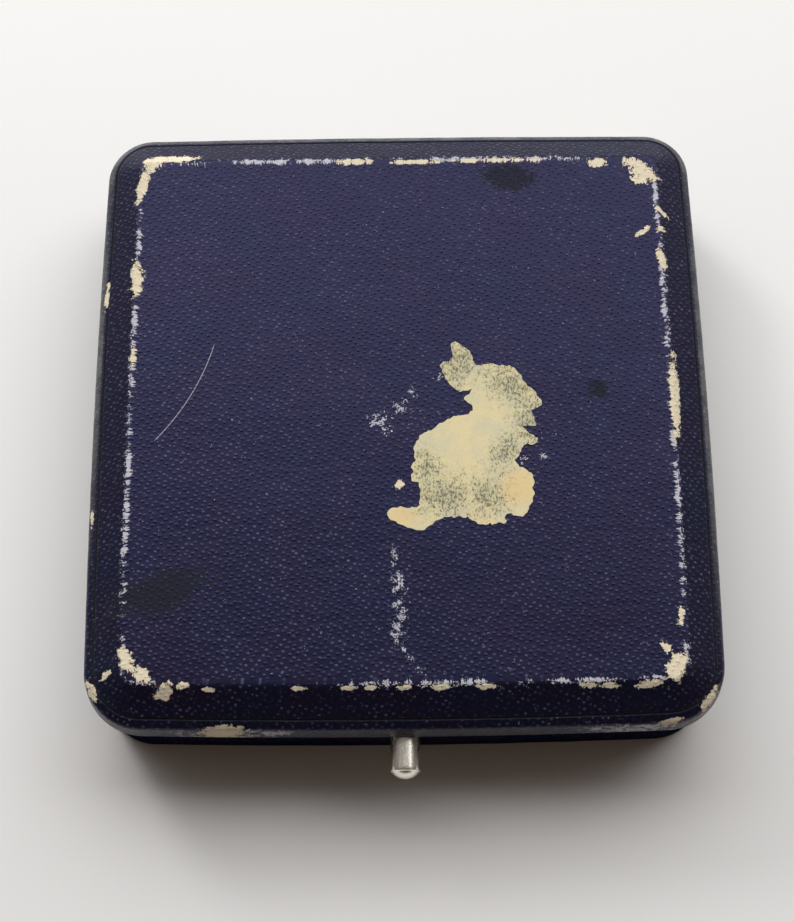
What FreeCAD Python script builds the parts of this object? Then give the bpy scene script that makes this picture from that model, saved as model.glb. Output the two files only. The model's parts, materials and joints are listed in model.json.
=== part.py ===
import FreeCAD, Part
import os
import re
import Sketcher

# A small press-button case for drafting instruments: a leatherette-covered wooden base with a velvet-lined
# tray, a bevelled lid on a brass hinge at the back, and a spring catch worked by a push button in front.
# Millimetres, +Z up.  The origin is the middle of the underside; the button points to -Y.

SIZES = {
    # the outside of the case
    "case_width": 80.0,          # X, widest, over the bulge of the sides
    "case_depth": 82.0,          # Y, widest, without the button
    "corner_radius": 7.0,        # plan radius of the four corners
    "side_bulge": 0.55,          # how far the left and right sides bow out
    "end_bulge": 0.7,            # how far the front and back bow out
    "base_height": 11.6,         # underside to the base's rim
    "lid_height": 6.3,           # lid's rim to its flat top
    "seam_gap": 0.1,             # between the two rims
    "bevel_width": 4.9,          # slope round the lid, seen from above
    "bevel_drop": 3.0,           # how far the slope falls
    "edge_round": 1.0,           # rounding between the slope and the lid's wall
    "foot_round": 0.4,           # rounding at the bottom of the base
    "wall_taper": 0.5,           # how far the base's wall leans in towards the bottom
    "taper_height": 9.6,         # height of the leaning part of the wall
    # skins and boards
    "skin": 0.5,                 # leatherette
    "underside_thickness": 0.4,  # panel under the case, which it stands on
    "underside_margin": 2.0,     # panel's edge to the outline
    "turn_in": 5.0,              # skin turned in under the bottom
    "rail_thickness": 4.2,       # wooden walls
    "board_thickness": 1.8,      # bottom board
    "lid_board_thickness": 1.9,  # top board
    "inner_radius": 5.5,         # corners of the inside
    # collar, tray and linings
    "collar_thickness": 0.8,
    "collar_rise": 1.2,          # above the base's rim
    "collar_gap": 0.35,          # collar to the lid's inner wall
    "fit_gap": 0.3,              # round soft and card pieces
    "velvet": 0.5,
    "tray_recess": 1.2,          # velvet's top below the rim
    "well_depth": 5.6,
    "well_radius": 3.0,
    "well_ridge": 5.0,           # between two wells
    "well_side_margin": 6.0,
    "well_end_margin": 4.6,
    "well_front_margin": 6.6,
    "trough_width": 18.0,        # finger trough across the wells
    "trough_depth": 3.6,
    "trough_margin": 2.6,
    "band_thickness": 0.4,
    "pad_thickness": 1.5,
    "pad_round": 0.8,
    # hinge
    "hinge_length": 48.0,
    "knuckle_radius": 1.0,
    "knuckle_gap": 0.1,          # round and between the knuckles
    "pin_radius": 0.45,
    "pin_play": 0.05,
    "pin_end": 0.4,              # pin's end past the last knuckle
    "leaf_thickness": 0.6,
    "leaf_gap": 0.02,            # leaf's face behind its rim
    "leaf_inset": 0.25,          # leaf's inner edge to the wall's inner face
    "stop_angle": 51.0,          # slope of each half of the groove behind the hinge
    "nail_radius": 0.35,
    "nail_head_radius": 0.7,
    "nail_head_height": 0.3,
    "nail_length": 3.0,
    "short_nail_length": 1.6,
    # button and catch
    "button_radius": 1.9,
    "button_reach": 5.2,         # how far the button stands out
    "button_dome": 1.0,
    "button_sink": 1.2,          # button's axis below the rim, and how far its barrel goes in
    "button_play": 0.08,
    "button_socket": 2.4,        # stem's seat in the barrel
    "lid_notch_play": 0.2,
    "press_travel": 1.5,
    "front_wood": 2.3,           # wood left in front of the catch
    "catch_half_width": 5.2,
    "plate_thickness": 0.6,
    "stem_radius": 0.6,
    "stem_play": 0.06,
    "hook_half_width": 2.5,
    "hook_thickness": 0.8,
    "hook_gap": 0.05,            # hook to the housing's front plate
    "hook_rise": 2.2,            # hook's top above the rim
    "hook_nose_length": 1.1,
    "hook_nose_height": 0.7,
    "strike_gap": 0.2,           # nose to the strike's edge
    "strike_half_width": 7.0,
    "strike_thickness": 1.2,     # thick enough to bridge the button's notch
    "washer_radius": 1.1,
    "washer_thickness": 0.3,
    "spring_radius": 0.88,
    "spring_wire": 0.14,
    "spring_length": 2.7,
    "housing_depth": 3.0,        # button's axis to the housing's bottom
    # rest of the glued label
    "label_thickness": 0.08,
}

KNUCKLES = 5                     # odd: both end knuckles belong to the base
WELLS = 3
SPRING_TURNS = 4
HINGE_NAILS = (-0.4, 0.0, 0.4)   # places along the hinge, as parts of its length
CATCH_NAILS = (-0.8, 0.8)        # places across the catch, as parts of its half width

# Outline of the paper that is left, from the middle of the lid, going clockwise from its top.
LABEL_OUTLINE = [
    (7.2, 9.7), (9.4, 8.0), (11.5, 6.5), (14.8, 6.1), (17.4, 3.0), (18.6, 0.9), (17.6, -2.0), (17.8, -4.0),
    (15.2, -7.0), (16.9, -8.5), (17.0, -11.7), (15.5, -14.2), (11.0, -15.2), (7.6, -14.3), (2.8, -16.3),
    (-1.6, -14.4), (-0.4, -13.0), (2.4, -13.0), (1.8, -9.0), (2.4, -3.8), (6.8, -0.9), (9.4, -0.2),
    (8.6, 1.5), (9.4, 2.8), (7.6, 2.7), (5.5, 6.5),
]

doc = FreeCAD.newDocument("instrument_case")
sheet = doc.addObject("Spreadsheet::Sheet", "Sizes")
for row, (alias, number) in enumerate(SIZES.items(), start=1):
    sheet.set(f"A{row}", alias)
    sheet.set(f"B{row}", str(number))
    sheet.setAlias(f"B{row}", alias)
doc.recompute()

NODES = []


def formula(text):
    """The same expression with each named size looked up in the sheet."""
    return re.sub(r"[a-z_]+", lambda word: "Sizes." + word[0] if word[0] in SIZES else word[0], text)


def value(text):
    """What an expression comes to now, in millimetres."""
    result = sheet.evalExpression(formula(text))
    return float(getattr(result, "Value", result))


def bind(obj, **places):
    """Bind properties to expressions; a double underscore stands for a dot."""
    for name, text in places.items():
        obj.setExpression(name.replace("__", "."), formula(text))


def node(obj, name):
    """Name a finished sub-part."""
    obj.Label = name
    NODES.append(obj)
    return obj


# ---------------------------------------------------------------- sketches and solids

def closed_sketch(body, name, plane, level, corners, bows=None):
    """A closed outline, anticlockwise; a side listed in bows is an arc of that radius, bowed outwards."""
    bows = bows or {}
    sketch = body.newObject("Sketcher::SketchObject", name)
    origin_plane = [part for part in body.Origin.OriginFeatures if part.Role == plane][0]
    sketch.AttachmentSupport = [(origin_plane, "")]
    sketch.MapMode = "FlatFace"
    bind(sketch, AttachmentOffset__Base__z=level)
    points = [FreeCAD.Vector(value(across), value(along), 0) for across, along in corners]
    count = len(points)
    for side, start in enumerate(points):
        end = points[(side + 1) % count]
        if side in bows:
            radius = value(bows[side])
            half = (end - start) / 2
            outward = FreeCAD.Vector(half.y, -half.x, 0).normalize()
            rise = radius - (radius ** 2 - half.Length ** 2) ** 0.5
            sketch.addGeometry(Part.Arc(start, start + half + outward * rise, end))
        else:
            sketch.addGeometry(Part.LineSegment(start, end))
    for side in range(count):
        sketch.addConstraint(Sketcher.Constraint("Coincident", side, 2, (side + 1) % count, 1))
    for side, (across, along) in enumerate(corners):
        for kind, axis, text in (("DistanceX", -2, across), ("DistanceY", -1, along)):
            if text == "0":
                sketch.addConstraint(Sketcher.Constraint("PointOnObject", side, 1, axis))
            else:
                index = sketch.addConstraint(Sketcher.Constraint(kind, -1, 1, side, 1, value(text)))
                bind(sketch, **{f"Constraints[{index}]": text})
    for side, text in bows.items():
        index = sketch.addConstraint(Sketcher.Constraint("Radius", side, value(text)))
        bind(sketch, **{f"Constraints[{index}]": text})
    return sketch


def pad(body, sketch, length, both_ways=False):
    """Pad a sketch along its own normal."""
    feature = body.newObject("PartDesign::Pad", sketch.Name + "_pad")
    feature.Profile = sketch
    feature.Midplane = both_ways
    bind(feature, Length=length)
    doc.recompute()
    return feature


def edges_where(feature, wanted):
    """Names of the edges that a test picks."""
    return [f"Edge{number}" for number, edge in enumerate(feature.Shape.Edges, start=1) if wanted(edge)]


def upright(edge):
    """True for an edge that runs straight up."""
    box = edge.BoundBox
    return box.ZLength > 0.1 and box.XLength < 1e-4 and box.YLength < 1e-4


def at_height(level):
    """A test for edges that lie level at one height."""
    height = value(level)
    return lambda edge: abs(edge.BoundBox.ZMin - height) < 1e-4 and abs(edge.BoundBox.ZMax - height) < 1e-4


def fillet(body, feature, name, wanted, radius):
    """Round the edges that a test picks."""
    rounded = body.newObject("PartDesign::Fillet", name)
    rounded.Base = (feature, edges_where(feature, wanted))
    bind(rounded, Radius=radius)
    doc.recompute()
    return rounded


def slope(body, feature, name, wanted, size_down, size_across):
    """Cut a slope along level edges: so far down the wall, and so far in across the top or bottom."""
    cut_edge = body.newObject("PartDesign::Chamfer", name)
    cut_edge.Base = (feature, edges_where(feature, wanted))
    cut_edge.ChamferType = "Two distances"
    bind(cut_edge, Size=size_down, Size2=size_across)
    doc.recompute()
    return cut_edge


def case_block(name, inset, bottom, height):
    """A block with the case's bowed outline, moved in by a distance."""
    body = doc.addObject("PartDesign::Body", name)
    half_x = f"case_width / 2 - side_bulge - {inset}"
    half_y = f"case_depth / 2 - end_bulge - {inset}"
    corners = [(f"-({half_x})", f"-({half_y})"), (half_x, f"-({half_y})"),
               (half_x, half_y), (f"-({half_x})", half_y)]
    front_bow = f"(({half_x})^2 + end_bulge^2) / (2 * end_bulge)"
    side_bow = f"(({half_y})^2 + side_bulge^2) / (2 * side_bulge)"
    bows = {0: front_bow, 1: side_bow, 2: front_bow, 3: side_bow}
    sketch = closed_sketch(body, name + "_outline", "XY_Plane", bottom, corners, bows)
    block = pad(body, sketch, height)
    fillet(body, block, name + "_corners", upright, f"corner_radius - {inset}")
    return body


def round_block(name, half_x, front, back, radius, bottom, height):
    """A straight-sided block with rounded corners in plan."""
    body = doc.addObject("PartDesign::Body", name)
    corners = [(f"-({half_x})", front), (half_x, front), (half_x, back), (f"-({half_x})", back)]
    block = pad(body, closed_sketch(body, name + "_outline", "XY_Plane", bottom, corners), height)
    fillet(body, block, name + "_corners", upright, radius)
    return body


def box(name, low, high):
    """A plain box from its lowest corner to its highest."""
    solid = doc.addObject("Part::Box", name)
    sides = [f"({top}) - ({start})" for start, top in zip(low, high)]
    bind(solid, Length=sides[0], Width=sides[1], Height=sides[2],
         Placement__Base__x=low[0], Placement__Base__y=low[1], Placement__Base__z=low[2])
    return solid


def rod(name, radius, length, start, turn=None):
    """A round rod from a starting point; it runs along +Z unless it is turned."""
    solid = doc.addObject("Part::Cylinder", name)
    solid.Placement = FreeCAD.Placement(FreeCAD.Vector(), turn or FreeCAD.Rotation())
    bind(solid, Radius=radius, Height=length,
         Placement__Base__x=start[0], Placement__Base__y=start[1], Placement__Base__z=start[2])
    return solid


ALONG_X = FreeCAD.Rotation(FreeCAD.Vector(0, 1, 0), 90)
ALONG_Y = FreeCAD.Rotation(FreeCAD.Vector(1, 0, 0), -90)
TO_FRONT = FreeCAD.Rotation(FreeCAD.Vector(1, 0, 0), 90)
DOWN = FreeCAD.Rotation(FreeCAD.Vector(1, 0, 0), 180)


def cut(name, solid, *tools):
    """Take each tool out of a solid in turn."""
    for number, tool in enumerate(tools, start=1):
        less = doc.addObject("Part::Cut", f"{name}_cut_{number}")
        less.Base = solid
        less.Tool = tool
        solid = less
    doc.recompute()
    return solid


def join(name, solids):
    """Fuse solids into one."""
    fused = doc.addObject("Part::MultiFuse", name)
    fused.Shapes = solids
    doc.recompute()
    return fused


def group(name, solids):
    """Keep separate solids together in one sub-part."""
    together = doc.addObject("Part::Compound", name)
    together.Links = solids
    doc.recompute()
    return together


def nail(name, start, length, turn):
    """A small nail: the middle of its head's face, its length, and the turn from +Z to where it points."""
    shank = rod(name + "_shank", "nail_radius", length, start, turn)
    head = rod(name + "_head", "nail_head_radius", "nail_head_height", start, turn)
    return join(name, [shank, head])


# ---------------------------------------------------------------- heights and faces that many pieces share

RIM = "base_height"
LID_RIM = "(base_height + seam_gap)"
LID_TOP = f"({LID_RIM} + lid_height)"
COVER_BOTTOM = "underside_thickness"
CORE_BOTTOM = "(underside_thickness + skin)"
BOARD_TOP = f"({CORE_BOTTOM} + board_thickness)"
CEILING = f"({LID_TOP} - skin - lid_board_thickness)"
HALF_X = "(case_width / 2)"
HALF_Y = "(case_depth / 2)"
INNER_X = "(case_width / 2 - skin - rail_thickness)"
INNER_Y = "(case_depth / 2 - skin - rail_thickness)"
LID_INNER_X = f"({INNER_X} + collar_gap)"
LID_INNER_Y = f"({INNER_Y} + collar_gap)"
HINGE_Y = "(case_depth / 2 - knuckle_radius)"
BUTTON_Z = "(base_height - button_sink)"
PLATE_Y = "(-case_depth / 2 + skin + front_wood)"
HOOK_Y = f"({PLATE_Y} + plate_thickness + hook_gap)"
HOOK_BACK = f"({HOOK_Y} + hook_thickness)"
WASHER_BACK = f"({HOOK_BACK} + washer_thickness)"
SPRING_BACK = f"({WASHER_BACK} + spring_length)"
HOUSING_BACK = f"({SPRING_BACK} + plate_thickness)"
CATCH_BACK = f"({HOUSING_BACK} + press_travel + fit_gap)"
HOUSING_BOTTOM = f"({BUTTON_Z} - housing_depth)"
HOOK_TOP = "(base_height + hook_rise)"

# ---------------------------------------------------------------- spaces that are cut out of the pieces

base_cavity = round_block("base_cavity", INNER_X, f"-{INNER_Y}", INNER_Y, "inner_radius", BOARD_TOP, RIM)
lid_cavity = round_block("lid_cavity", LID_INNER_X, f"-{LID_INNER_Y}", LID_INNER_Y,
                         "inner_radius + collar_gap", RIM, f"{CEILING} - {RIM}")

catch_space = box("catch_space",
                  ("-catch_half_width", PLATE_Y, HOUSING_BOTTOM),
                  ("catch_half_width", f"-{INNER_Y} + skin", f"{RIM} + skin"))
tray_catch_space = box("tray_catch_space",
                       ("-catch_half_width - fit_gap", f"-{INNER_Y} - skin", f"{HOUSING_BOTTOM} - fit_gap"),
                       ("catch_half_width + fit_gap", CATCH_BACK, f"{RIM} + collar_rise + skin"))
hook_mortise = box("hook_mortise",
                   ("-hook_half_width - collar_gap",
                    f"{HOOK_Y} - hook_nose_length - strike_gap - collar_gap",
                    f"{LID_RIM} - skin"),
                   ("hook_half_width + collar_gap", f"-{LID_INNER_Y} + 2 * skin",
                    f"{HOOK_TOP} + 2 * strike_gap"))

button_bore = rod("button_bore", "button_radius + button_play", f"{PLATE_Y} + {HALF_Y} + skin",
                  ("0", f"-{HALF_Y} - skin", BUTTON_Z), ALONG_Y)
lid_notch = rod("lid_notch", "button_radius + lid_notch_play",
                f"{PLATE_Y} + {HALF_Y} + skin + lid_notch_play",
                ("0", f"-{HALF_Y} - skin", BUTTON_Z), ALONG_Y)

knuckle_space = rod("knuckle_space", "knuckle_radius + knuckle_gap",
                    "hinge_length + 2 * pin_end + 4 * knuckle_gap",
                    ("-hinge_length / 2 - pin_end - 2 * knuckle_gap", HINGE_Y,
                     RIM + " + seam_gap / 2"), ALONG_X)
groove = doc.addObject("PartDesign::Body", "groove")
groove_mouth = f"({HALF_Y} + skin)"
groove_rise = f"(({groove_mouth} - {HINGE_Y}) * tan(stop_angle * 1 deg))"
groove_corners = [(HINGE_Y, f"{RIM} + seam_gap / 2"),
                  (groove_mouth, f"{RIM} + seam_gap / 2 - {groove_rise}"),
                  (groove_mouth, f"{RIM} + seam_gap / 2 + {groove_rise}")]
groove_sketch = closed_sketch(groove, "groove_section", "YZ_Plane", "0 * skin", groove_corners)
pad(groove, groove_sketch, "case_width", True)

leaf_low = f"({RIM} - leaf_gap - leaf_thickness)"
leaf_high = f"({LID_RIM} + leaf_gap + leaf_thickness)"
base_leaf_space = box("base_leaf_space",
                      ("-hinge_length / 2", f"{INNER_Y} + leaf_inset", leaf_low),
                      ("hinge_length / 2", HINGE_Y, f"{RIM} + skin"))
lid_leaf_space = box("lid_leaf_space",
                     ("-hinge_length / 2", f"{INNER_Y} + collar_gap + leaf_inset", f"{LID_RIM} - skin"),
                     ("hinge_length / 2", HINGE_Y, leaf_high))

# ---------------------------------------------------------------- nails

nail_y = f"({INNER_Y} + {HINGE_Y} - knuckle_radius) / 2 + leaf_inset / 2"
base_nails = [nail(f"base_nail_{number}", (f"hinge_length * {place}", nail_y, f"{RIM} - leaf_gap"),
                   "nail_length", DOWN)
              for number, place in enumerate(HINGE_NAILS)]
lid_nails = [nail(f"lid_nail_{number}",
                  (f"hinge_length * {place}", f"{nail_y} + collar_gap / 2", f"{LID_RIM} + leaf_gap"),
                  "short_nail_length", FreeCAD.Rotation())
             for number, place in enumerate(HINGE_NAILS)]
catch_nails = [nail(f"catch_nail_{number}",
                    (f"catch_half_width * {place}", f"{PLATE_Y} + plate_thickness",
                     f"{BUTTON_Z} - stem_radius"),
                    "short_nail_length", TO_FRONT)
               for number, place in enumerate(CATCH_NAILS)]
strike_y = f"({PLATE_Y} - collar_gap)"
strike_nails = [nail(f"strike_nail_{number}",
                     (f"strike_half_width * {place}", strike_y, f"{LID_RIM} + leaf_gap"),
                     "short_nail_length", FreeCAD.Rotation())
                for number, place in enumerate(CATCH_NAILS)]
hinge_nails_base = node(group("base_hinge_nails", base_nails), "hinge_nails_base")
hinge_nails_lid = node(group("lid_hinge_nails", lid_nails), "hinge_nails_lid")
catch_nail_group = node(group("catch_nail_group", catch_nails), "catch_nails")
strike_nail_group = node(group("strike_nail_group", strike_nails), "strike_nails")

# ---------------------------------------------------------------- base: wood, cards and skin

base_outer = case_block("base_outer", "0 * skin", COVER_BOTTOM, f"{RIM} - {COVER_BOTTOM}")
tapered = slope(base_outer, base_outer.Tip, "base_outer_taper", at_height(COVER_BOTTOM),
                "taper_height", "wall_taper")
fillet(base_outer, tapered, "base_outer_foot", at_height(COVER_BOTTOM), "foot_round")

base_core = case_block("base_core", "skin", CORE_BOTTOM, f"{RIM} - skin - {CORE_BOTTOM}")
slope(base_core, base_core.Tip, "base_core_taper", at_height(CORE_BOTTOM), "taper_height", "wall_taper")

board_slab = box("board_slab", (f"-{HALF_X}", f"-{HALF_Y}", "0 * skin"), (HALF_X, HALF_Y, BOARD_TOP))
base_board = doc.addObject("Part::Common", "base_board_blank")
base_board.Base = base_core
base_board.Tool = board_slab
node(base_board, "base_board")

node(cut("base_frame_blank", base_core, board_slab, base_cavity, catch_space, button_bore,
         base_leaf_space, knuckle_space, groove, hinge_nails_base, catch_nail_group), "base_frame")

filler_space = case_block("filler_space", "turn_in", COVER_BOTTOM, "skin")
node(cut("base_cover_blank", base_outer, base_core, base_cavity, filler_space, catch_space, button_bore,
         base_leaf_space, knuckle_space, groove), "base_cover")
node(case_block("filler_block", "(turn_in + fit_gap)", COVER_BOTTOM, "skin"), "base_filler_card")
node(case_block("underside_block", "underside_margin", "0 * skin", "underside_thickness"), "base_underside")

# ---------------------------------------------------------------- base: collar, tray and velvet

collar_outer = round_block("collar_outer", INNER_X, f"-{INNER_Y}", INNER_Y, "inner_radius",
                           BOARD_TOP, f"{RIM} + collar_rise - {BOARD_TOP}")
collar_inner = round_block("collar_inner", f"({INNER_X} - collar_thickness)",
                           f"-{INNER_Y} + collar_thickness", f"{INNER_Y} - collar_thickness",
                           "inner_radius - collar_thickness", BOARD_TOP,
                           f"{RIM} + collar_rise - {BOARD_TOP}")
node(cut("collar_blank", collar_outer, collar_inner, tray_catch_space), "base_collar")

TRAY_X = f"({INNER_X} - collar_thickness - fit_gap)"
TRAY_Y = f"({INNER_Y} - collar_thickness - fit_gap)"
TRAY_TOP = f"({RIM} - tray_recess)"
WELL_FLOOR = f"({TRAY_TOP} - well_depth)"
WELL_HALF = f"((2 * {TRAY_X} - 2 * well_side_margin - {WELLS - 1} * well_ridge) / {2 * WELLS})"


def tray_block(name, shrink):
    """The tray, smaller by a distance all over, with its wells and trough larger by as much."""
    blank = round_block(name, f"({TRAY_X} - {shrink})", f"-{TRAY_Y} + {shrink}", f"{TRAY_Y} - {shrink}",
                        f"inner_radius - collar_thickness - {shrink}", BOARD_TOP,
                        f"{TRAY_TOP} - {shrink} - {BOARD_TOP}")
    spaces = []
    for number in range(WELLS):
        place = f"({number - (WELLS - 1) / 2}) * (2 * {WELL_HALF} + well_ridge)"
        well = doc.addObject("PartDesign::Body", f"{name}_well_{number}")
        left = f"{place} - {WELL_HALF} - {shrink}"
        right = f"{place} + {WELL_HALF} + {shrink}"
        front = f"-{TRAY_Y} + well_front_margin - {shrink}"
        back = f"{TRAY_Y} - well_end_margin + {shrink}"
        corners = [(left, front), (right, front), (right, back), (left, back)]
        space = pad(well, closed_sketch(well, f"{name}_well_outline_{number}", "XY_Plane",
                                        f"{WELL_FLOOR} - {shrink}", corners), "well_depth + skin")
        fillet(well, space, f"{name}_well_corners_{number}", upright, f"well_radius + {shrink}")
        spaces.append(well)
    spaces.append(round_block(f"{name}_trough", f"({TRAY_X} - trough_margin + {shrink})",
                              f"-trough_width / 2 - {shrink}", f"trough_width / 2 + {shrink}",
                              f"well_radius + {shrink}", f"{TRAY_TOP} - trough_depth - {shrink}",
                              "trough_depth + skin"))
    return cut(name + "_hollowed", blank, *spaces)


former_blank = tray_block("former", "velvet")
velvet_blank = tray_block("velvet_skin", "(0 * velvet)")
node(cut("tray_former_blank", former_blank, tray_catch_space), "tray_former")
node(cut("velvet_lining_blank", velvet_blank, former_blank, tray_catch_space), "velvet_lining")

# ---------------------------------------------------------------- lid: wood, skin and linings

lid_outer = case_block("lid_outer", "0 * skin", LID_RIM, "lid_height")
bevelled = slope(lid_outer, lid_outer.Tip, "lid_outer_bevel", at_height(LID_TOP),
                 "bevel_drop", "bevel_width")
fillet(lid_outer, bevelled, "lid_outer_edge", at_height(f"{LID_TOP} - bevel_drop"), "edge_round")

lid_core = case_block("lid_core", "skin", f"{LID_RIM} + skin", "lid_height - 2 * skin")
slope(lid_core, lid_core.Tip, "lid_core_bevel", at_height(f"{LID_TOP} - skin"), "bevel_drop", "bevel_width")
lid_slab = box("lid_slab", (f"-{HALF_X}", f"-{HALF_Y}", CEILING), (HALF_X, HALF_Y, LID_TOP))
lid_board = doc.addObject("Part::Common", "lid_board_blank")
lid_board.Base = lid_core
lid_board.Tool = lid_slab
node(lid_board, "lid_board")


def strike_blank(name):
    """The strike's plate before it is cut, let into the lid's front rim."""
    front = f"{PLATE_Y} - 2 * strike_gap - hook_nose_length"
    return box(name, ("-strike_half_width", front, f"{LID_RIM} - skin"),
               ("strike_half_width", f"-{LID_INNER_Y}", f"{LID_RIM} + leaf_gap + strike_thickness"))


strike_space = strike_blank("strike_space")
strike_face = box("strike_face", (f"-{HALF_X}", f"-{HALF_Y}", f"{LID_RIM} - skin"),
                  (HALF_X, HALF_Y, f"{LID_RIM} + leaf_gap"))
hook_window = box("hook_window",
                  ("-hook_half_width - collar_gap", f"{HOOK_Y} - hook_nose_length - strike_gap",
                   f"{LID_RIM} - skin"),
                  ("hook_half_width + collar_gap", f"-{LID_INNER_Y} + skin", HOOK_TOP))
node(cut("strike_plate_blank", strike_space, strike_face, hook_window, lid_notch, strike_nail_group),
     "strike_plate")

node(cut("lid_frame_blank", lid_core, lid_slab, lid_cavity, hook_mortise, strike_space, lid_notch,
         lid_leaf_space, knuckle_space, groove, hinge_nails_lid, strike_nail_group), "lid_frame")
node(cut("lid_cover_blank", lid_outer, lid_core, lid_cavity, hook_mortise, strike_space, lid_notch,
         lid_leaf_space, knuckle_space, groove), "lid_cover")

BAND_BOTTOM = f"({RIM} + collar_rise + fit_gap)"
band_outer = round_block("band_outer", LID_INNER_X, f"-{LID_INNER_Y}", LID_INNER_Y,
                         "inner_radius + collar_gap", BAND_BOTTOM, f"{CEILING} - {BAND_BOTTOM}")
band_inner = round_block("band_inner", f"({LID_INNER_X} - band_thickness)",
                         f"-{LID_INNER_Y} + band_thickness", f"{LID_INNER_Y} - band_thickness",
                         "inner_radius + collar_gap - band_thickness", BAND_BOTTOM,
                         f"{CEILING} - {BAND_BOTTOM}")
node(cut("band_blank", band_outer, band_inner, hook_mortise), "lid_lining_band")

pad_margin = "(band_thickness + fit_gap)"
lid_pad = round_block("lid_pad_block", f"({LID_INNER_X} - {pad_margin})", f"-{LID_INNER_Y} + {pad_margin}",
                      f"{LID_INNER_Y} - {pad_margin}", "inner_radius", f"{CEILING} - pad_thickness",
                      "pad_thickness")
fillet(lid_pad, lid_pad.Tip, "lid_pad_edge", at_height(f"{CEILING} - pad_thickness"), "pad_round")
node(lid_pad, "lid_pad")

# The torn label is a ragged sheet, so it is drawn with Part's own functions.
label_top = value(LID_TOP)
label_points = [FreeCAD.Vector(across, along, label_top) for across, along in LABEL_OUTLINE]
label_sheet = Part.Face(Part.makePolygon(label_points + label_points[:1]))
label = doc.addObject("Part::Feature", "label_scrap")
label.Shape = label_sheet.extrude(FreeCAD.Vector(0, 0, value("label_thickness")))
node(label, "label_remnant")

# ---------------------------------------------------------------- hinge

AXIS_Z = f"({RIM} + seam_gap / 2)"


def hinge_leaf(name, knuckles, low, high, bore, inner_edge, nails):
    """A flat leaf let into a rim, with its share of the knuckles."""
    edge = f"({HINGE_Y} - knuckle_radius - knuckle_gap)"
    solids = [box(name + "_plate", ("-hinge_length / 2", inner_edge, low), ("hinge_length / 2", edge, high))]
    pitch = f"(hinge_length / {KNUCKLES})"
    for number in knuckles:
        start = f"-hinge_length / 2 + {pitch} * {number} + knuckle_gap / 2"
        length = f"{pitch} - knuckle_gap"
        solids.append(box(f"{name}_tab_{number}", (start, f"{edge} - plate_thickness", low),
                          (f"{start} + {length}", f"{HINGE_Y} - pin_radius - 2 * pin_play", high)))
        solids.append(rod(f"{name}_knuckle_{number}", "knuckle_radius", length,
                          (start, HINGE_Y, AXIS_Z), ALONG_X))
    hole = rod(name + "_bore", bore, "hinge_length + 2", ("-hinge_length / 2 - 1", HINGE_Y, AXIS_Z), ALONG_X)
    return cut(name + "_blank", join(name + "_joined", solids), hole, nails)


node(hinge_leaf("base_leaf", range(0, KNUCKLES, 2), leaf_low, f"({RIM} - leaf_gap)", "pin_radius",
                f"({INNER_Y} + leaf_inset)", hinge_nails_base), "hinge_leaf_base")
node(hinge_leaf("lid_leaf", range(1, KNUCKLES, 2), f"({LID_RIM} + leaf_gap)", leaf_high,
                "pin_radius + pin_play", f"({INNER_Y} + collar_gap + leaf_inset)", hinge_nails_lid),
     "hinge_leaf_lid")
node(rod("hinge_pin_rod", "pin_radius", "hinge_length + 2 * pin_end",
         ("-hinge_length / 2 - pin_end", HINGE_Y, AXIS_Z), ALONG_X), "hinge_pin")

# ---------------------------------------------------------------- button and catch

button = doc.addObject("PartDesign::Body", "button_body")
button_back = "button_sink"
button_section = [("-button_reach", "0"), (f"{button_back} - button_socket", "0"),
                  (f"{button_back} - button_socket", "stem_radius"), (button_back, "stem_radius"),
                  (button_back, "button_radius"), ("-button_reach + button_dome", "button_radius")]
# The section is the upper half of the button; its last side, from the rim back to the tip, is the dome.
dome_bow = "(button_radius^2 + button_dome^2) / (2 * button_dome)"
button_sketch = closed_sketch(button, "button_section", "YZ_Plane", "0 * skin", button_section,
                              {5: dome_bow})
turned = button.newObject("PartDesign::Revolution", "button_turned")
turned.Profile = button_sketch
turned.ReferenceAxis = (button_sketch, ["H_Axis"])
turned.Angle = 360
bind(button, Placement__Base__y=f"-{HALF_Y}", Placement__Base__z=BUTTON_Z)
doc.recompute()
node(button, "push_button")

stem_start = f"(-{HALF_Y} + {button_back} - button_socket)"
node(rod("stem_rod", "stem_radius", f"{HOUSING_BACK} + fit_gap - {stem_start}",
         ("0", stem_start, BUTTON_Z), ALONG_Y), "button_stem")
stem_hole = rod("stem_hole", "stem_radius", f"2 * {HALF_Y}", ("0", f"-{HALF_Y}", BUTTON_Z), ALONG_Y)
stem_guide = rod("stem_guide", "stem_radius + stem_play", f"2 * {HALF_Y}",
                 ("0", f"-{HALF_Y}", BUTTON_Z), ALONG_Y)

hook = doc.addObject("PartDesign::Body", "hook_body")
hook_foot = f"({HOUSING_BOTTOM} + plate_thickness + 3 * hook_gap)"
nose_low = f"({HOOK_TOP} - hook_nose_height)"
hook_section = [(HOOK_Y, hook_foot), (HOOK_BACK, hook_foot), (HOOK_BACK, HOOK_TOP),
                (f"{HOOK_Y} - hook_nose_length / 3", HOOK_TOP),
                (f"{HOOK_Y} - hook_nose_length", f"{nose_low} + hook_nose_height / 3"),
                (f"{HOOK_Y} - hook_nose_length", nose_low), (HOOK_Y, nose_low)]
hook_sketch = closed_sketch(hook, "hook_section", "YZ_Plane", "0 * skin", hook_section)
pad(hook, hook_sketch, "2 * hook_half_width", True)
node(cut("hook_blank", hook, stem_hole), "latch_hook")

washer = rod("washer_disc", "washer_radius", "washer_thickness", ("0", HOOK_BACK, BUTTON_Z), ALONG_Y)
node(cut("washer_blank", washer, stem_hole), "stem_washer")

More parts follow.
